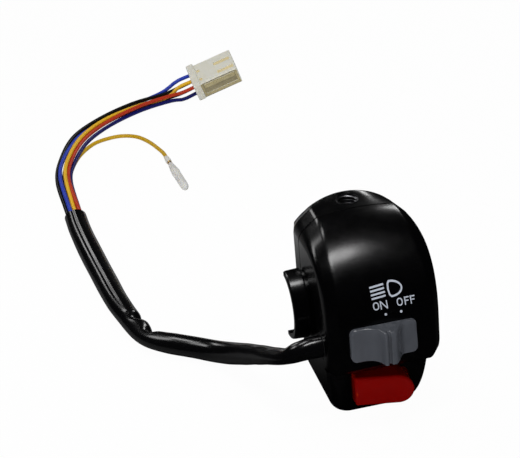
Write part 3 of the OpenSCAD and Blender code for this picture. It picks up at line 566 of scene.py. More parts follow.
def build_sleeve():
    points = smooth_route(SLEEVE_ROUTE, 230)
    # Where each route point falls along the line
    runs = runs_of(SLEEVE_ROUTE)
    marks = [r / runs[-1] for r in runs]
    kink = marks[KINK_POINT]

    def at(values, share):
        for i in range(len(marks) - 1):
            if share <= marks[i + 1]:
                t = (share - marks[i]) / (marks[i + 1] - marks[i])
                return blend(values[i], values[i + 1], smooth(t))
        return values[-1]

    def at_kink(rows, share):
        return sum(size * bump_at(share, kink + off, reach) for off, reach, size in rows)

    def section(share, a):
        inner = max(0.0, cos(a - FOLD_TURN)) ** 2
        line = LINE_DEPTH * smooth((share - kink - 0.06) / 0.10) * bump_at(a, LINE_TURN, 0.13)
        brow = at_kink(BROWS, share) * bump_at(a, BROW_TURN, 0.6)
        fold = 1 - at_kink(FOLDS, share) * inner + at_kink(SWELLS, share) * inner - line + brow
        wave = sin(31 * share + 2.2 * sin(2 * a)) * sin(2 * a + 9 * share)
        grow = fold * (1 + RIPPLE * wave)
        return at(SLEEVE_ASIDE, share) * cos(a) * grow, at(SLEEVE_UP, share) * sin(a) * grow

    obj = cord_mesh("cable_sleeve_skin", points, section, 72)
    dress(obj, 60, [SLEEVE], False)
    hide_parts("cable_sleeve")
    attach(obj, "housing")
    length_of(points) * MM


def wire_curve(name, route, mat, slot):
    points = smooth_route(route, 56)
    data = bpy.data.curves.new(name, "CURVE")
    data.dimensions = "3D"
    data.bevel_depth = WIRE_R * MM
    data.bevel_resolution = 5
    data.use_fill_caps = True
    line = data.splines.new("POLY")
    line.points.add(len(points) - 1)
    for spot, p in zip(line.points, points):
        spot.co = (*(p * MM), 1.0)
    line.use_smooth = True
    obj = add_object(name, data)
    data.materials.append(mat)
    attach(obj, "housing")
    return obj, points


# The bundle from the sleeve's mouth, which takes up the first two points, to the connector
WIRE_ROUTE = [
    (-83, 155), (-83, 165), (-82, 194), (-78, 212), (-68.5, 233.5), (-54.5, 249.5), (-36.5, 261), (-20, 267)]
# How far the bundle opens towards the connector, at the last points of its route
FAN = {5: 0.12, 6: 0.36, 7: 0.72}
FAN_PITCH, PLUG_LEAD = 4.4, 7.0
MOUTH_PITCH, MOUTH_LIFTS = 1.85, (-0.1, 1.9)
LAY_PITCH, LAY_LOW, LAY_RISE = 1.95, 2.95, 2.1
SLIP, SLIP_RISE = 1.9, 0.7


def wire_points(lay, way, row, shifts):
    """Middle line of one wire: in the sleeve's mouth, along the bundle and at the connector.

    shifts moves single points of the bundle aside and up, where wires cross over each other.
    """
    pts = [Vector(p) for p in WIRE_ROUTE]
    out = []
    for i, p in enumerate(pts):
        if i < 2:
            ahead = pts[1] - pts[0]
            reach = lay * MOUTH_PITCH
            z = SLEEVE_ROUTE[-1][2] + MOUTH_LIFTS[row]
        else:
            ahead = pts[min(i + 1, len(pts) - 1)] - pts[i - 1]
            reach = blend(lay * LAY_PITCH, way * FAN_PITCH, FAN.get(i, 0.0))
            z = FLOOR + LAY_LOW + row * LAY_RISE
        ahead.normalize()
        move, lift = shifts.get(i, (0.0, 0.0))
        aside = Vector((ahead.y, -ahead.x)) * (reach + move)
        out.append((p.x + aside.x, p.y + aside.y, z + lift))
    place = plug_frame()
    for back in (PLUG_LEAD, 0):
        # Behind the flange the lower wires show between the upper ones
        slip = SLIP if back and not row else 0.0
        spot = Vector((-back, -way * WAY_PITCH - slip, WAY_ROWS[row] + SLIP_RISE * slip))
        out.append(tuple(place @ spot))
    return out


TAIL_ROUTE = [
    (-81.6, 155, -30.2), (-81.6, 163, -30.2), (-81, 178, -31.25), (-79.8, 194, -31.25), (-76.5, 209, -31.25),
    (-70.5, 223, -31.25), (-62.5, 232, -30.65), (-54.5, 235.4, -30.65), (-47.8, 235.4, -30.65),
    (-41.6, 231.5, -30.65), (-37.4, 223.5, -30.65), (-34.8, 214.5, -30.65), (-33.5, 208.5, -30.65), TAIL_END]

# Black climbs over blue along the bend and drops under it again before the connector
BLACK_OVER = {2: (-0.2, 0.0), 3: (-0.4, 0.8), 4: (-0.4, 2.2), 5: (1.2, 2.6), 6: (1.4, 2.3), 7: (1.6, 1.5)}
BLUE_UNDER = {4: (0.3, -0.3), 5: (-0.9, -2.0), 6: (-1.2, -1.7), 7: (-1.0, -0.4)}
# Yellow rides high beside blue, red lies lower along its inner side, dark blue under red
YELLOW_SHIFT = {2: (0.3, 0.3), 3: (0.3, 0.4), 4: (0.3, 0.4), 5: (0.3, 0.2), 6: (0.4, -0.6), 7: (0.5, -1.2)}
RED_SHIFT = {
    2: (-0.3, -0.8), 3: (-0.4, -0.9), 4: (-0.4, -0.9), 5: (-0.3, -0.6), 6: (-0.2, 0.1), 7: (-0.4, 0.4)}
DARK_SHIFT = {3: (0.2, -0.4), 4: (0.2, -0.4), 5: (0.2, -0.3)}
# Each wire's place across the bundle, its way and row at the connector, and its shifts
WIRES = [
    ("wire_black_lower", -1.5, -1, 0, BLACK_OVER, PVC_BLACK, "pvc_black"),
    ("wire_black_upper", 0, 0, 0, {}, PVC_BLACK, "pvc_black"),
    ("wire_dark_blue", 1.5, 1, 0, DARK_SHIFT, PVC_DARK, "pvc_dark_blue"),
    ("wire_blue", -0.8, -1, 1, BLUE_UNDER, PVC_BLUE, "pvc_blue"),
    ("wire_yellow", 0.2, 0, 1, YELLOW_SHIFT, PVC_YELLOW, "pvc_yellow"),
    ("wire_red", 1.2, 1, 1, RED_SHIFT, PVC_RED, "pvc_red")]


def build_wires(plug, bullet):
    for name, lay, way, row, shifts, mat, slot in WIRES:
        obj, points = wire_curve(name + "_line", wire_points(lay, way, row, shifts), mat, slot)
        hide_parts(name)
        length_of(points) * MM
    obj, points = wire_curve("wire_tail_line", TAIL_ROUTE, PVC_YELLOW_DARKER, "pvc_yellow")
    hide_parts("wire_tail")
    length_of(points) * MM


# Connector and bullet terminal

def round_box(y, low, high, r):
    """Outline of a box with round corners, y to both sides, from low to high."""
    out = []
    corners = ((y - r, high - r), (r - y, high - r), (r - y, low + r), (y - r, low + r))
    for i, (cy, cz) in enumerate(corners):
        out += arc(cy, cz, r, r, 90 * i, 90, 4)
    return out


def plug_body(name, steps, y, low, high, r):
    """A box with round edges along X through steps of x and inset."""
    rings = []
    for x, inset in steps:
        outline = round_box(y - inset, low + inset, high - inset, r - inset / 2)
        rings.append([(x, py, pz) for py, pz in outline])
    return loft(name, rings)


def eased_end(x):
    return [(x - 0.4, 0.0), (x - 0.1, 0.12), (x, 0.35)]


WAY_HALF_Y, WAY_HALF_Z, WIRE_HOLE_R = 1.6, 1.0, 1.15
# Shallow mould windows over the terminals, with their middle and ends on the top
TOP_WINDOWS = [(1.9, 13.2, 21.4), (-4.7, 13.6, 22.0)]
WINDOW_HALF, WINDOW_DEPTH, LATCH_DEPTH = 1.1, 0.25, 0.3
PAN_X, PAN_Z = (4.4, 21.3), (2.4, 9.0)
PAN = PLUG_HALF - 0.3
# The nylon, the nylon over the terminals, and three darker copies with painted shade for the side
PLUG_FINISHES = [NYLON, TAN, NYLON_SIDE_PAINTED_SHADE, TAN_PAINTED_SHADE, NYLON_FOOT_PAINTED_SHADE]


def plug_finish(p, q):
    """Number of a face's finish in PLUG_FINISHES, from its middle and its direction; side and lower faces get
    painted shade.
    """
    over_ways = p.x > 3.6
    sideways = abs(q.y) > 0.6
    if q.z > 0.7 and PLUG_H - 0.6 < p.z < PLUG_H - 0.1 and abs(p.y) < 7 and over_ways:
        return 1
    if sideways and PAN - 0.2 < abs(p.y) < PAN + 0.05 and over_ways and p.x < 22:
        return 3
    if sideways and PAN + 0.1 < abs(p.y) < PLUG_HALF + 0.2 and 5.0 < p.z < 8.6 and 4.6 < p.x < 21.2:
        return 2
    if q.y < -0.6 and p.z < 2.6 and over_ways:
        return 4
    return 0


def build_connector():
    main = plug_body("connector_shell", [(3.0, 0.0)] + eased_end(PLUG_L), PLUG_HALF, 0.0, PLUG_H, 0.7)
    flange = plug_body("flange", [(0.0, 0.4), (0.15, 0.15), (0.45, 0.0)] + eased_end(FLANGE_L),
                       PLUG_HALF + FLANGE_OUT, 0.0, PLUG_H + FLANGE_OUT, 1.4)
    steps = [(ADD, flange)]

    def hollow(name, low, high):
        steps.append((LESS, block(name, low, high)))

    for z in WAY_ROWS:
        for a in (-1, 0, 1):
            y = WAY_PITCH * a
            hollow("way", (2.0, y - WAY_HALF_Y, z - WAY_HALF_Z), (PLUG_L + 1, y + WAY_HALF_Y, z + WAY_HALF_Z))
            steps.append((LESS, rod("wire_hole", (-1, y, z), (3, y, z), WIRE_HOLE_R, 24)))
    for y, start, end in TOP_WINDOWS:
        far = y + WINDOW_HALF
        hollow("bar_top", (start, y - WINDOW_HALF, PLUG_H - WINDOW_DEPTH), (end, far, PLUG_H + 1))
        hollow("latch", (4.1, y - 0.9, PLUG_H - LATCH_DEPTH), (5.6, far, PLUG_H + 1))
    hollow("side_pan", (PAN_X[0], -9.6, PAN_Z[0]), (PAN_X[1], -PAN, PAN_Z[1]))
    hollow("far_pan", (PAN_X[0], PAN, PAN_Z[0]), (PAN_X[1], 9.6, PAN_Z[1]))
    cut(main, *steps)
    bar = plug_body("side_bar", [(5.0, 0.2), (5.2, 0.0), (20.8, 0.0), (21.0, 0.2)], 0.4, 5.5, 8.2, 0.25)
    for v in bar.data.vertices:
        v.co.y -= (PAN - 0.1) * MM
    join(main, bar)
    dress(main, 35, PLUG_FINISHES)
    for poly in main.data.polygons:
        poly.material_index = plug_finish(poly.center / MM, poly.normal)
    place = plug_frame()
    for v in main.data.vertices:
        v.co = (place @ (v.co / MM)) * MM
    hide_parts("connector_housing")
    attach(main, "housing")
    return main


# Steps of radius and length along the boot
BOOT = [
    (0.95, -1.6), (1.1, -1.3), (1.2, 0.4), (1.32, 1.8), (1.28, 3.2), (1.05, 4.6), (1.02, 5.4), (1.2, 7.4),
    (1.6, 11.0), (2.0, 15.4), (1.92, 16.4), (1.86, 20.0), (1.84, 27.0), (1.8, 30.5), (1.5, 32.4),
    (0.9, 33.2), (0.3, 33.4)]


def build_bullet():
    """Milky vinyl boot over the bullet terminal: a short bulge, a neck and a long bulb."""
    line = smooth_route([(r, h, 0) for r, h in BOOT], 72)
    turn = (Matrix.Translation(TAIL_END) @ Matrix.Rotation(radians(TAIL_TURN), 4, "Z")
            @ Matrix.Rotation(radians(90), 4, "X"))
    obj = lathe("bullet_boot", [(max(p.x, 0.05), p.y) for p in line], 32, turn)
    dress(obj, 60, [CLEAR], False)
    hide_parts("bullet_sleeve")
    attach(obj, "housing")
    return obj


build_sleeve()
build_wires(build_connector(), build_bullet())


# Front shell

def top_row(k, t):
    """Row of the upper block from its top to its face: reach to both sides, face, crown and side."""
    low = TOP - CROWN - k
    # The pulls of both curves are those of the CAD source
    m = bend((0, low), (-17, low + 1.5), (k - FACE, 18), (k - FACE, 5), t)
    s = bend((0, SHOULDER - k), (-21, SHOULDER - k + 3), (k - SIDE, 21), (k - SIDE, 2), t)
    left = HALF - k - TOP_LEFT + (TOP_LEFT - BEVEL) * t
    right = HALF - k - TOP_RIGHT + (TOP_RIGHT - BEVEL) * sin(pi / 2 * t)
    return left, right, m[0], m[1], CROWN * (1 - t), s[0], s[1]


def step_row(k, a):
    """The same for the rounded step under the face, at the angle a."""
    r = STEP_R - k
    z = CREASE - r * sin(a)
    left = HALF - k - BEVEL + (BEVEL - LOW_LEFT) * sin(a)
    right = HALF - k - BEVEL + (BEVEL - LOW_RIGHT) * sin(a)
    return left, right, STEP_R - FACE - r * cos(a), z, 0.0, STEP_R - SIDE - r * cos(a), z


def across(left, right, u):
    return (right - left) / 2 + u * (right + left) / 2


INNER_US = [-0.86, -0.72, -0.58, -0.44, -0.3, -0.15, 0, 0.15, 0.3, 0.44, 0.58, 0.72, 0.86]
TOP_ROWS, STEP_ROWS = 46, 16


def front_rows(k):
    """Rows of the upper block with their rounding, from the parting face to the step."""
    rows = []
    reach = 2.0 if k else 6.0
    steps = [(top_row, i / TOP_ROWS, 1.0) for i in range(TOP_ROWS + 1)]
    for i in range(STEP_ROWS + 1):
        a = pi / 2 * i / STEP_ROWS
        steps.append((step_row, a, cos(a)))
    for func, t, soft in steps:
        left, right, y, z, rise, sy, sz = func(k, t)
        inner = func(k + reach, t)
        wide = (1 - t) ** 2 if func is top_row else 0.0

        def face_point(u):
            return (across(left, right, u), y, z + rise * (1 - u * u))

        edge, brow = 1.5 * soft + 0.1, 0.9 * soft + 0.1
        near_left, near_right = (k - HALF, inner[5], inner[6]), (HALF - k, inner[5], inner[6])
        side_left, side_right = (k - HALF, sy, sz), (HALF - k, sy, sz)
        row = [near_left]
        row += round_corner(near_left, side_left, face_point(-1), edge + 2.2 * wide, 6)
        row += round_corner(side_left, face_point(-1), face_point(INNER_US[0]), brow)
        row += [face_point(u) for u in INNER_US]
        row += round_corner(face_point(INNER_US[-1]), face_point(1), side_right, brow)
        row += round_corner(face_point(1), side_right, near_right, edge + 1.4 * wide, 6)
        row.append(near_right)
        rows.append(row)
    return rows


def front_block(name, k, back):
    """The upper block as a closed solid, k inside its outer skin and back behind the parting face."""
    rows = front_rows(k)
    cols = len(rows[0])
    if back:
        rows.insert(0, [(p[0], back, p[2]) for p in rows[0]])
    points = [p for row in rows for p in row]
    n = len(rows)
    faces = grid_faces(n, cols)
    foot = CREASE - (STEP_R - k)
    left_foot = len(points)
    points += [(k - HALF, back, foot), (HALF - k, back, foot)]
    last = (n - 1) * cols
    faces.append(tuple(i * cols for i in range(n)) + (last + 1, left_foot))
    faces.append(tuple(i * cols + cols - 1 for i in range(n)) + (last + cols - 2, left_foot + 1))
    faces.append(tuple(range(cols)) + (left_foot + 1, left_foot))
    faces.append(tuple(range(last + 1, last + cols - 1)) + (left_foot + 1, left_foot))
    return make_mesh(name, points, faces)


def lower_outline(k, rise, top):
    """Outline of the lower part in X and Z: round at its lower left, swept up to the right."""
    low = k + rise - BASE
    r = CORNER - k
    out = [(k - HALF, top)]
    out += arc(CORNER - HALF, CORNER - BASE + rise, r, r, 180, 90, 12)
    for i in range(17):
        out.append(bend((LOWER_FLAT, low), (LOWER_FLAT + 8, low),
                        (LOWER_REACH - k - 1.4, -STEP_DROP - 9), (LOWER_REACH - k, -STEP_DROP), i / 16))
    out.append((LOWER_REACH - k, top))
    return out


def front_lower(name, k, back, edge):
    top = 0.5 + k - STEP_DROP
    front = k - LOWER_DEPTH
    rings = [at_y(back, lower_outline(k, 0, top))]
    for i in range(6):
        a = pi / 2 * i / 5
        inset = edge * (1 - cos(a))
        rings.append(at_y(front + edge - edge * sin(a), lower_outline(k + inset, 0, top)))
    return loft(name, rings)


def half_ring(name, profile, sides):
    """A half ring about the bar, on the rider's side, from (radius, x) steps."""
    rings = []
    for i in range(sides + 1):
        a = radians(90 + 180 * i / sides)
        rings.append([(x, r * cos(a), r * sin(a)) for r, x in profile])
    return loft(name, rings)


def window_tool():
    """Opening for the paddle, square at the left and round at the right."""
    gap, swing_gap = 0.35, 0.55
    half, mid = PADDLE_H / 2 + gap, PADDLE_RIGHT - PADDLE_H / 2 + swing_gap
    outline = [(PADDLE_LEFT - gap, PADDLE_Z + half), (PADDLE_LEFT - gap, PADDLE_Z - half)]
    outline += arc(mid, PADDLE_Z, half, half, -90, 180, 24)
    return loft("window", [at_y(y, outline) for y in (-30, -24)])


def bar_bore():
    return (LESS, rod("bore", (-HALF - 1, 0, 0), (HALF + 1, 0, 0), BORE, 128))


# Steps of radius and x of the half collar on the left end and of the saddle round the bar
COLLAR = [
    (11.35, -27.25), (12.75, -27.25), (13.0, -27.1), (13.18, -26.7), (13.26, -26.2), (13.5, -21.9),
    (13.38, -21.5), (13.1, -21.3), (12.5, -21.2), (12.5, -19.0), (11.35, -19.0)]
SADDLE_END = HALF - 0.02
SADDLE_STEPS = [
    (BORE - 1, -SADDLE_END), (SADDLE, -SADDLE_END), (SADDLE, SADDLE_END), (BORE - 1, SADDLE_END)]
NECK_SLOT = (-6.75, -38, -3.2), (8.45, -34.0, 3.4)


def build_front():
    shell = front_block("front_shell", 0.0, 0.0)
    ease_edges(shell, lambda p: abs(p.y) < 1e-4 and p.z > 0.9 - STEP_DROP)
    lower = front_lower("lower", 0.0, 0.0, 1.0)
    ease_edges(lower, lambda p: abs(p.y) < 1e-4 and p.z < 0.3 - STEP_DROP)
    collar = half_ring("collar", COLLAR, 96)
    saddle = half_ring("saddle", SADDLE_STEPS, 64)
    steps = [(ADD, lower), (LESS, front_block("hollow", WALL, 1.0)),
             (LESS, front_lower("low_hollow", WALL, 1.0, 0.3)), (ADD, saddle)]
    for x, z in SCREWS:
        steps.append((ADD, rod("boss", (x, -19.5, z), (x, -0.02, z), BOSS_R, 40)))
    entry = rod("entry", (-22, ENTRY_Y, ENTRY_Z), (-14.8, ENTRY_Y, ENTRY_Z), ENTRY_R, 64)
    steps += [bar_bore(), (LESS, block("neck_slot", *NECK_SLOT)),
              (LESS, window_tool()), (LESS, entry)]
    for x, z in SCREWS:
        steps.append((LESS, rod("thread", (x, -18, z), (x, 1, z), PILOT_R, 32)))
    steps.append((ADD, collar))
    cut(shell, *steps)
    dress(shell, 28, [PAINT])
    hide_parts("front_housing")
    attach(shell, "housing")


# Rear shell

# Height where the arch starts, how much of the shoulder it keeps, and the crown's rise beside its corners
ARCH_START, ARCH_KEEP, CROWN_EDGE = 19, 0.8, 0.36
# How much the sides draw in per mm of depth and at the arch, and the rise of the lower edge
DRAFT, ARCH_INSET, LOWER_RISE = 0.035, 0.3, 4.0
# Steps of radius and height of the mirror hole, with its countersink
MIRROR_HOLE = [(4.05, MIRROR_FLOOR), (4.05, 33.35), (4.3, 33.6), (5.2, 34.5)]


def rear_outline(y, k, arch):
    """Outline across the rear shell from its lower left, over the top, to its lower right."""
    left, right, top = HALF - k - TOP_LEFT, HALF - k - TOP_RIGHT, TOP - CROWN - k
    side, shoulder = HALF - k, SHOULDER - k
    low, bow = k - STEP_DROP, shoulder - 6.0
    brow = top + CROWN * CROWN_EDGE
    pts = [(-side, low), (-side, 6.0), (-side, 16.0)]
    pts += round_corner((-side, bow), (-side, shoulder), (-left, top), 3.8, 6)
    pts += round_corner((-side, shoulder), (-left, top), (across(left, right, -0.8), brow), 1.0)
    for i in range(1, 20):
        u = -0.9 + 1.8 * i / 20
        pts.append((across(left, right, u), top + CROWN * (1 - u * u)))
    pts += round_corner((across(left, right, 0.8), brow), (right, top), (side, shoulder), 1.0)
    pts += round_corner((right, top), (side, shoulder), (side, bow), 3.0, 6)
    pts += [(side, 16.0), (side, 6.0), (side, low)]
    if arch is None:
        return at_y(y, pts)
    r = ARCH_R - arch
    half = r * cos(radians(ARCH_TURN))
    knee = ARCH_MID + r * sin(radians(ARCH_TURN))
    grown = []
    for x, z in pts:
        ax, az = x * half / side, z
        if z > ARCH_START:
            az = ARCH_MID + sqrt(max(r * r - ax * ax, 0.0))
            if abs(x) > side - 0.001:
                az = knee - (shoulder - z) * ARCH_KEEP
        grown.append((ax, y, az))
    return grown


def build_rear():
    back = REAR_DEPTH - REAR_ROUND

    def eased(y, k):
        """Outline at a depth: its right shoulder already leans into the arch behind it."""
        share = smooth(y / back)
        out = []
        for p, q in zip(rear_outline(y, k, None), rear_outline(y, 0.0, 0.0)):
            w = share * smooth((p[0] - 2) / 10) * smooth((p[2] - 12) / 12)
            out.append((blend(p[0], q[0], w), y, blend(p[2], q[2], w)))
        return out

    # The first rings lie deeper: a dark joint line between the two shells
    start = JOINT + JOINT_EASE
    rings = [rear_outline(0.0, JOINT, None), rear_outline(JOINT, JOINT, None), eased(start, 0.0)]
    rings += [eased(y, DRAFT * y) for y in (2.0, 4.0, 6.0, 7.6)]
    side, arch = eased(REAR_SIDE, ARCH_INSET), rear_outline(back, 0.0, 0.0)
    for i in range(7):
        rings.append([tuple(blend(a, b, i / 6) for a, b in zip(p, q)) for p, q in zip(side, arch)])
    for i in range(1, 6):
        a = pi / 2 * i / 5
        rings.append(rear_outline(back + REAR_ROUND * sin(a), 0.0, REAR_ROUND * (1 - cos(a))))
    shell = loft("rear_shell", rings)
    top = 0.5 - STEP_DROP
    rings = [at_y(y, lower_outline(JOINT, 0.0, top)) for y in (0.0, JOINT)]
    for i in range(8):
        t = i / 7
        ease = 1 - sqrt(max(0.0, 1 - t * t))
        outline = lower_outline(REAR_ROUND * ease, LOWER_RISE * t ** 1.6, top)
        rings.append(at_y(REAR_SIDE * t if i else start, outline))
    lower = loft("rear_lower", rings)
    hole = lathe("hole", MIRROR_HOLE, 64, Matrix.Translation((0, MIRROR_Y, 0)))
    steps = [(ADD, lower), bar_bore(), (LESS, hole)]
    for x, z in SCREWS:
        steps.append((LESS, rod("shank", (x, -1, z), (x, 5, z), SHANK_R, 32)))
        steps.append((LESS, rod("pocket", (x, 4.5, z), (x, 20, z), POCKET_R, 48)))
    cut(shell, *steps)
    dress(shell, 28, [REAR_PAINT])
    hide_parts("rear_housing")
    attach(shell, "housing")


def build_thread():
    """The mirror hole's thread, a ridged liner of pitch 1.25."""
    pitch, sides, rows_per_turn = 1.25, 64, 10
    outer, root, depth, run_out = 4.06, 3.98, 0.56, 0.8
    low, high = MIRROR_FLOOR + 0.02, TOP
    rows = int((high - low) / pitch * rows_per_turn)

    def ring(z, radius):
        return [(*on_circle(radius(z, j), j, sides), z) for j in range(sides)]

    def ridge(z, j):
        wave = (z / pitch - j / sides) % 1.0
        rise = smooth((1 - abs(2 * wave - 1)) * 1.15)
        return root - depth * rise * smooth((high - z) / run_out)

    rings = [ring(blend(low, high, i / rows), ridge) for i in range(rows + 1)]
    rings.insert(0, ring(low, lambda z, j: outer))
    rings.append(ring(high, lambda z, j: outer))
    points = [(x, y + MIRROR_Y, z) for ring in rings for x, y, z in ring]
    count = len(rings)
    faces = grid_faces(count, sides, True)
    for j in range(sides):
        k = (j + 1) % sides
        faces.append((j, k, (count - 1) * sides + k, (count - 1) * sides + j))
    obj = make_mesh("mirror_thread_liner", points, faces)
    dress(obj, 50, [STEEL_DARK], False)
    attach(obj, "housing")


# Slider cap and starter paddle

def height_field(name, xs, half_at, height, edge_at, floor_y, base_y, z_mid, border):
    """A cap over a plan: xs along X, half_at(x) its reach in Z, height(x) its rise towards the rider.

    edge_at(x, z) is the rounding of its rim and border(x, z) the distance to it.
    """
    points = []
    count = 41
    for x in xs:
        reach = half_at(x)
        for j in range(count):
            z = -cos(pi * j / (count - 1)) * reach
            d = max(0.0, border(x, z))
            edge = edge_at(x, z)
            drop = 0.0
            if d < edge:
                drop = edge - sqrt(max(0.0, edge * edge - (edge - d) ** 2))
            points.append((x, floor_y - height(x) + drop, z_mid + z))
    n = len(xs)
    faces = grid_faces(n, count)
    rim = list(range(count))
    rim += [i * count + count - 1 for i in range(1, n)]
    rim += [(n - 1) * count + j for j in range(count - 2, -1, -1)]
    rim += [i * count for i in range(n - 2, 0, -1)]
    low = len(points)
    points += [(points[i][0], base_y, points[i][2]) for i in rim]
    m = len(rim)
    for i in range(m):
        j = (i + 1) % m
        faces.append((rim[i], rim[j], low + j, low + i))
    faces.append(tuple(low + i for i in range(m)))
    return make_mesh(name, points, faces)


def reach_at(over, half, corner):
    """Half height of a plan with round corners, at a place that lies over a corner's start."""
    if over <= 0:
        return half
    return half - corner + sqrt(max(0.0, corner * corner - over * over))


def inside(ax, az, corner):
    """Distance to the rim of such a plan, from the places over the corner's two starts."""
    return corner - hypot(max(ax, 0), max(az, 0)) - min(max(ax, az), 0.0)


def build_slider():
    half_w, half_h, corner = SLIDER_W / 2, SLIDER_H / 2, 2.1
    end, ridge, groove, pointer = 1.8, 7.5, 1.1, 0.3
    left, right = 4.1 - half_w, half_w - 4.9
    near, far, pull = pointer - 1.9, pointer + 1.9, 1.6

    def raw(x):
        """Height of the cap without its groove: a round flank, the ridge and a swept flank."""
        if x < left or x > right:
            return end
        if x < near:
            a = asin(min(1.0, (x - left) / (near - left)))
            return end + (ridge - end) * (1 - cos(a))
        if x > far:
            t = solve(lambda s: bend((far,), (far + pull,), (right - pull,), (right,), s)[0] < x, 30)
            return bend((ridge,), (ridge,), (end,), (end,), t)[0]
        return ridge

    def height(x):
        x -= SLIDER_X
        soft = sum(raw(x + 0.11 * k) for k in range(-4, 5)) / 9
        d = abs(x - pointer)
        if d < groove / 2 + 0.25:
            soft -= 1.1 * (1 - smooth((d - groove / 2 + 0.12) / 0.34))
        return soft

    def edge_at(x, z):
        share = smooth((raw(x - SLIDER_X) - end) / (ridge - end))
        return blend(0.65, 1.15 + 0.75 * share, smooth((z + 3) / 6))

    def half_at(x):
        return reach_at(abs(x - SLIDER_X) - (half_w - corner), half_h, corner)

    def border(x, z):
        return inside(abs(x - SLIDER_X) - (half_w - corner), abs(z) - (half_h - corner), corner)

    # Columns lie closer at the groove and at both feet of the ridge
    xs = [half_w * -cos(pi * i / 60) for i in range(61)]
    for d in (-0.3, -0.12, -0.04, 0.05, 0.14, 0.22, 0.3):
        xs += [pointer + s * (groove / 2 + d) for s in (-1, 1)]
    for foot in (near, far):
        xs += [foot + 0.12 * k for k in range(-5, 6)]
    xs = sorted(set(round(SLIDER_X + x, 4) for x in xs if abs(x) <= half_w))
    foot_y = -FACE - 0.25
    cap = height_field("slider_cap_skin", xs, half_at, height, edge_at, foot_y, foot_y, SLIDER_Z, border)
    neck = block("neck", (SLIDER_X - 4.5, -FACE - 0.3, SLIDER_Z - 3), (SLIDER_X + 4.5, -34.05, SLIDER_Z + 3))
    bore = rod("bore", (SLIDER_X, -38.6, SLIDER_Z), (SLIDER_X, -33, SLIDER_Z), 1.3, 24)
    cut(cap, (ADD, neck), (LESS, bore))
    dress(cap, 40, [GREY])
    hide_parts("slider_cap")
    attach(cap, "light_slider")


def build_paddle():
    half_h, corner, edge = PADDLE_H / 2, 0.8, 1.15
    round_x = PADDLE_RIGHT - half_h

    def height(x):
        t = (x - PADDLE_LEFT) / (PADDLE_RIGHT - PADDLE_LEFT)
        return blend(PADDLE_LOW, PADDLE_HIGH, t)

    def half_at(x):
        if x > round_x:
            return sqrt(max(0.0, half_h ** 2 - (x - round_x) ** 2))
        return reach_at(PADDLE_LEFT + corner - x, half_h, corner)

    def border(x, z):
        if x > round_x:
            return half_h - hypot(x - round_x, z)
        return inside(PADDLE_LEFT + corner - x, abs(z) - (half_h - corner), corner)

    def upright(name, reach, r, sides):
        return rod(name, (PIN_X, PIN_Y, PADDLE_Z - reach), (PIN_X, PIN_Y, PADDLE_Z + reach), r, sides)

    xs = [PADDLE_LEFT + 1.4 * (1 - cos(pi / 2 * i / 10)) for i in range(11)]
    xs += [blend(PADDLE_LEFT + 1.8, round_x, i / 12) for i in range(13)]
    xs += [round_x + half_h * sin(pi / 2 * i / 22) for i in range(1, 22)]
    xs += [PADDLE_RIGHT - 0.004]
    paddle = height_field("start_paddle_skin", sorted(xs), half_at, height, lambda x, z: edge,
                          -LOWER_DEPTH, PADDLE_BACK, PADDLE_Z, border)
    tongue = block("tongue", (6.0, PADDLE_BACK - 0.02, PADDLE_Z - 3), (11.2, -24.4, PADDLE_Z + 3))
    cut(paddle, (ADD, upright("knuckle", half_h, KNUCKLE_R, 40)), (ADD, tongue),
        (LESS, upright("pin", 8, PIN_R, 32)))
    dress(paddle, 40, [RED])
    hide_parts("start_paddle")
    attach(paddle, "starter_lever")


# Lettering: ON, OFF, two dots and a headlamp sign, laid on the switch face

def face_y(x, z):
    """The switch face's depth at a place, with the crown of its upper part."""
    if z <= 5:
        return -FACE

    def above(t):
        left, right, y, height, rise = top_row(0, t)[:5]
        u = (2 * x - right + left) / (right + left)
        return height + rise * (1 - u * u) > z

    return top_row(0, solve(above, 40))[2]


class Ink:
    """Strokes drawn on the face as thin raised strips."""

    STEP = 0.35
    SIDES = 24

    def __init__(self):
        self.points = []
        self.faces = []
        self.layer = 0

    def spot(self, x, z, lift):
        self.points.append((x, face_y(x, z) - lift, z))

    def stroke(self, line, width, closed=False):
        pts = [Vector(p) for p in line]
        fine = []
        ends = pts + pts[:1] if closed else pts
        for a, b in zip(ends, ends[1:]):
            count = max(1, ceil((b - a).length / self.STEP))
            fine += [a.lerp(b, i / count) for i in range(count)]
        if not closed:
            fine.append(pts[-1])
        n = len(fine)
        # Strokes that cross lie at slightly different heights
        self.layer += 1
        top = 0.05 + 0.002 * (self.layer % 7)
        start = len(self.points)
        for i, p in enumerate(fine):
            before = fine[i - 1] if closed or i else p
            after = fine[(i + 1) % n] if closed or i < n - 1 else p
            ahead = (after - before).normalized()
            aside = Vector((-ahead.y, ahead.x)) * width / 2
            for lift in (top, 0.0):
                for q in (p + aside, p - aside):
                    self.spot(q.x, q.y, lift)
        for i in range(n if closed else n - 1):
            a, b = start + 4 * i, start + 4 * ((i + 1) % n)
            self.faces += [(a, a + 1, b + 1, b), (a + 2, a, b, b + 2), (a + 1, a + 3, b + 3, b + 1)]
        if not closed:
            e = start + 4 * (n - 1)
            self.faces += [(start, start + 2, start + 3, start + 1), (e, e + 1, e + 3, e + 2)]

    def dot(self, x, z, r):
        start = len(self.points)
        for lift in (0.06, 0.0):
            for j in range(self.SIDES):
                dx, dz = on_circle(r, j, self.SIDES)
                self.spot(x + dx, z + dz, lift)
        self.faces.append(tuple(start + j for j in range(self.SIDES)))
        low = start + self.SIDES
        for j in range(self.SIDES):
            k = (j + 1) % self.SIDES
            self.faces.append((start + j, start + k, low + k, low + j))

    def letter_o(self, x, z, w, h, width):
        line = []
        for j in range(28):
            c, s = (copysign(abs(v) ** 0.85, v) for v in on_circle(1.0, j, 28))
            line.append((x + w / 2 * c, z + h / 2 * s))
        self.stroke(line, width, True)


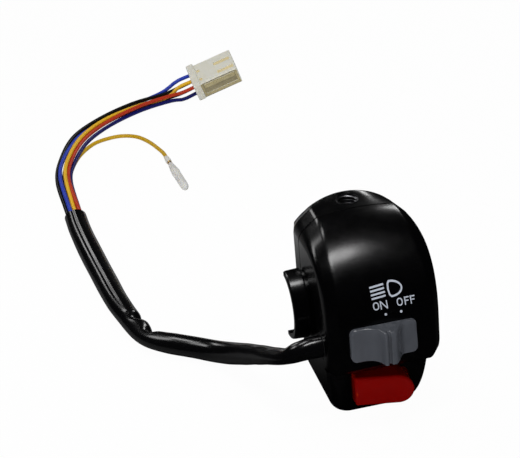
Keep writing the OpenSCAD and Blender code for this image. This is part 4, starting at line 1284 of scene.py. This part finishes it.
def build_lettering():
    ink = Ink()
    pen, tip, o_width, dot_r = 0.37, 0.25, 1.75, 0.44
    low, high = 11.2, 13.35
    mid = (low + high) / 2

    def stem(x):
        ink.stroke([(x, low - tip), (x, high + tip)], pen)

    ink.letter_o(-3.3, mid, o_width, high - low, pen)
    stem(-1.6)
    ink.stroke([(-1.55, high + 0.12), (0.55, low - 0.12)], pen)
    stem(0.6)
    ink.letter_o(5.2, mid, o_width, high - low, pen)
    for x in (7.1, 9.2):
        stem(x)
        ink.stroke([(x + tip, high), (x + 1.5, high)], pen)
        ink.stroke([(x + tip, mid + 0.05), (x + 1.3, mid + 0.05)], pen)
    for x in (-0.34, 5.21):
        ink.dot(x, 9.1, dot_r)
    # Headlamp sign: the lens as a half round, and four beams to its left
    lens = arc(2.8, 16.6, 4.0, 2.2, -90, 180, 20)
    lens += [(2.2, 18.2), (1.95, 16.6), (2.2, 15.0)]
    ink.stroke(lens, 0.56, True)
    for i in range(4):
        z = 18.3 - 1.1 * i
        ink.stroke([(0.7, z), (-4.4, z - 0.40)], 0.52)
    obj = make_mesh("face_lettering", ink.points, ink.faces)
    give(obj, INK)
    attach(obj, "housing")


build_front()
build_rear()
build_thread()
build_slider()
build_paddle()
build_lettering()


# CAD pieces that stay, with their finishes

KEPT = [
    (STEEL, ("housing_screws", "slider_screw", "detent_ball", "detent_spring", "light_board_screws",
             "paddle_pin", "start_spring", "start_base_screws")),
    (BRASS, ("light_contact_strip", "light_fixed_contacts", "start_bridge", "start_fixed_contacts",
             "connector_terminals", "bullet_terminal")),
    (NATURAL, ("slider_carrier", "start_plunger")),
    (BOARD, ("light_contact_board", "start_contact_base")),
    (PVC_BLACK, ("light_leads", "start_leads")),
    (RUBBER, ("cable_grommet",))]
for mat, nodes in KEPT:
    for node in nodes:
        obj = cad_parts[node]
        if not obj.material_slots:
            obj.data.materials.append(mat)
        for place in obj.material_slots:
            place.link = "OBJECT"
            place.material = mat


# Floor, world and lamps

FLOOR_X, FLOOR_FRONT, FLOOR_BACK, FLOOR_GAP = 3000, -3000, 4000, 0.05
# How much of the floor shows as plain white; the rest takes the shadow
FLOOR_WHITE = 0.975


def build_floor():
    z = FLOOR - FLOOR_GAP
    obj = make_mesh("floor", [(-FLOOR_X, FLOOR_FRONT, z), (FLOOR_X, FLOOR_FRONT, z),
                              (FLOOR_X, FLOOR_BACK, z), (-FLOOR_X, FLOOR_BACK, z)], [(0, 1, 2, 3)])
    n = Nodes("floor_white")
    n.feed("Base Color", n.mottle(3, (0.86,) * 3, (0.88,) * 3, 3))
    n.set(Roughness=0.9, Specular_IOR_Level=0.0)
    glow = n.add("ShaderNodeEmission", Strength=1.0)
    path = n.add("ShaderNodeLightPath").outputs
    share = n.math("MULTIPLY", n.seen(path), FLOOR_WHITE)
    plain = n.mix_shaders(share, n.bsdf.outputs[0], glow.outputs[0])
    axes = n.add("ShaderNodeSeparateXYZ")
    n.link(n.place, axes.inputs[0])
    x, y = axes.outputs[:2]
    # In the gloss only a patch behind the left side is light, as a card that lies there
    deep = n.spread(y, 0.0, 1.0, 0.085, 0.135)
    aside = n.math("MULTIPLY", n.spread(x, 0.0, 1.0, -0.075, -0.045), n.spread(x, 1.0, 0.0, -0.03, 0.03))
    beside = n.math("MULTIPLY", n.spread(x, 1.0, 0.0, -0.045, -0.015), n.spread(y, 0.0, 1.0, -0.01, 0.03))
    near_left = n.mix(beside, (0.010,) * 3, (0.20,) * 3)
    dark = n.add("ShaderNodeBsdfDiffuse")
    n.link(n.mix(n.math("MULTIPLY", deep, aside), near_left, (0.75,) * 3), dark.inputs["Color"])
    n.link(n.mix_shaders(path["Is Glossy Ray"], plain, dark.outputs[0]), n.out.inputs[0])
    give(obj, n.mat)


def build_world():
    """White where it is seen, a soft room for plain light and nearly nothing in the gloss."""
    world = bpy.data.worlds.new("studio")
    scene.world = world
    world.use_nodes = True
    t = Tree(world.node_tree)

    def sky(colour, strength):
        return t.add("ShaderNodeBackground", Color=colour, Strength=strength).outputs[0]

    cool, white = (0.95, 0.97, 1.0, 1), (1, 1, 1, 1)
    path = t.add("ShaderNodeLightPath").outputs
    room = t.mix_shaders(path["Is Glossy Ray"], sky(cool, 0.22), sky(cool, 0.006))
    out = t.add("ShaderNodeOutputWorld")
    t.link(t.mix_shaders(t.seen(path), room, sky(white, 1.0)), out.inputs[0])


def lamp(name, place, aim, size, power, mirrored=True):
    data = bpy.data.lights.new(name, "AREA")
    data.shape = "RECTANGLE"
    data.size, data.size_y = size
    data.energy = power
    obj = add_object(name, data)
    place, aim = Vector(place), Vector(aim)
    turn = (aim - place).to_track_quat("-Z", "Y").to_matrix().to_4x4()
    obj.matrix_world = Matrix.Translation(place) @ turn
    obj.visible_glossy = mirrored


build_floor()
build_world()
lamp("overhead", (-0.033, -0.039, 0.53), (-0.033, -0.039, 0.0), (0.22, 0.10), 1.08)
lamp("back_right", (0.37, 0.66, 0.36), (0.0, 0.0, 0.02), (0.14, 0.16), 0.58)
lamp("back_left", (-0.15, 0.39, 0.57), (-0.015, 0.0, 0.03), (0.14, 0.12), 0.38)
lamp("behind", (-0.217, 0.80, 0.333), (-0.07, 0.08, -0.03), (0.18, 0.13), 0.30)
lamp("sleeve_side", (-0.161, 0.13, 0.174), (-0.055, 0.023, -0.025), (0.07, 0.06), 0.075)
lamp("front_fill", (-0.40, -0.82, 0.12), (0.0, 0.0, 0.0), (0.35, 0.25), 3.0, False)
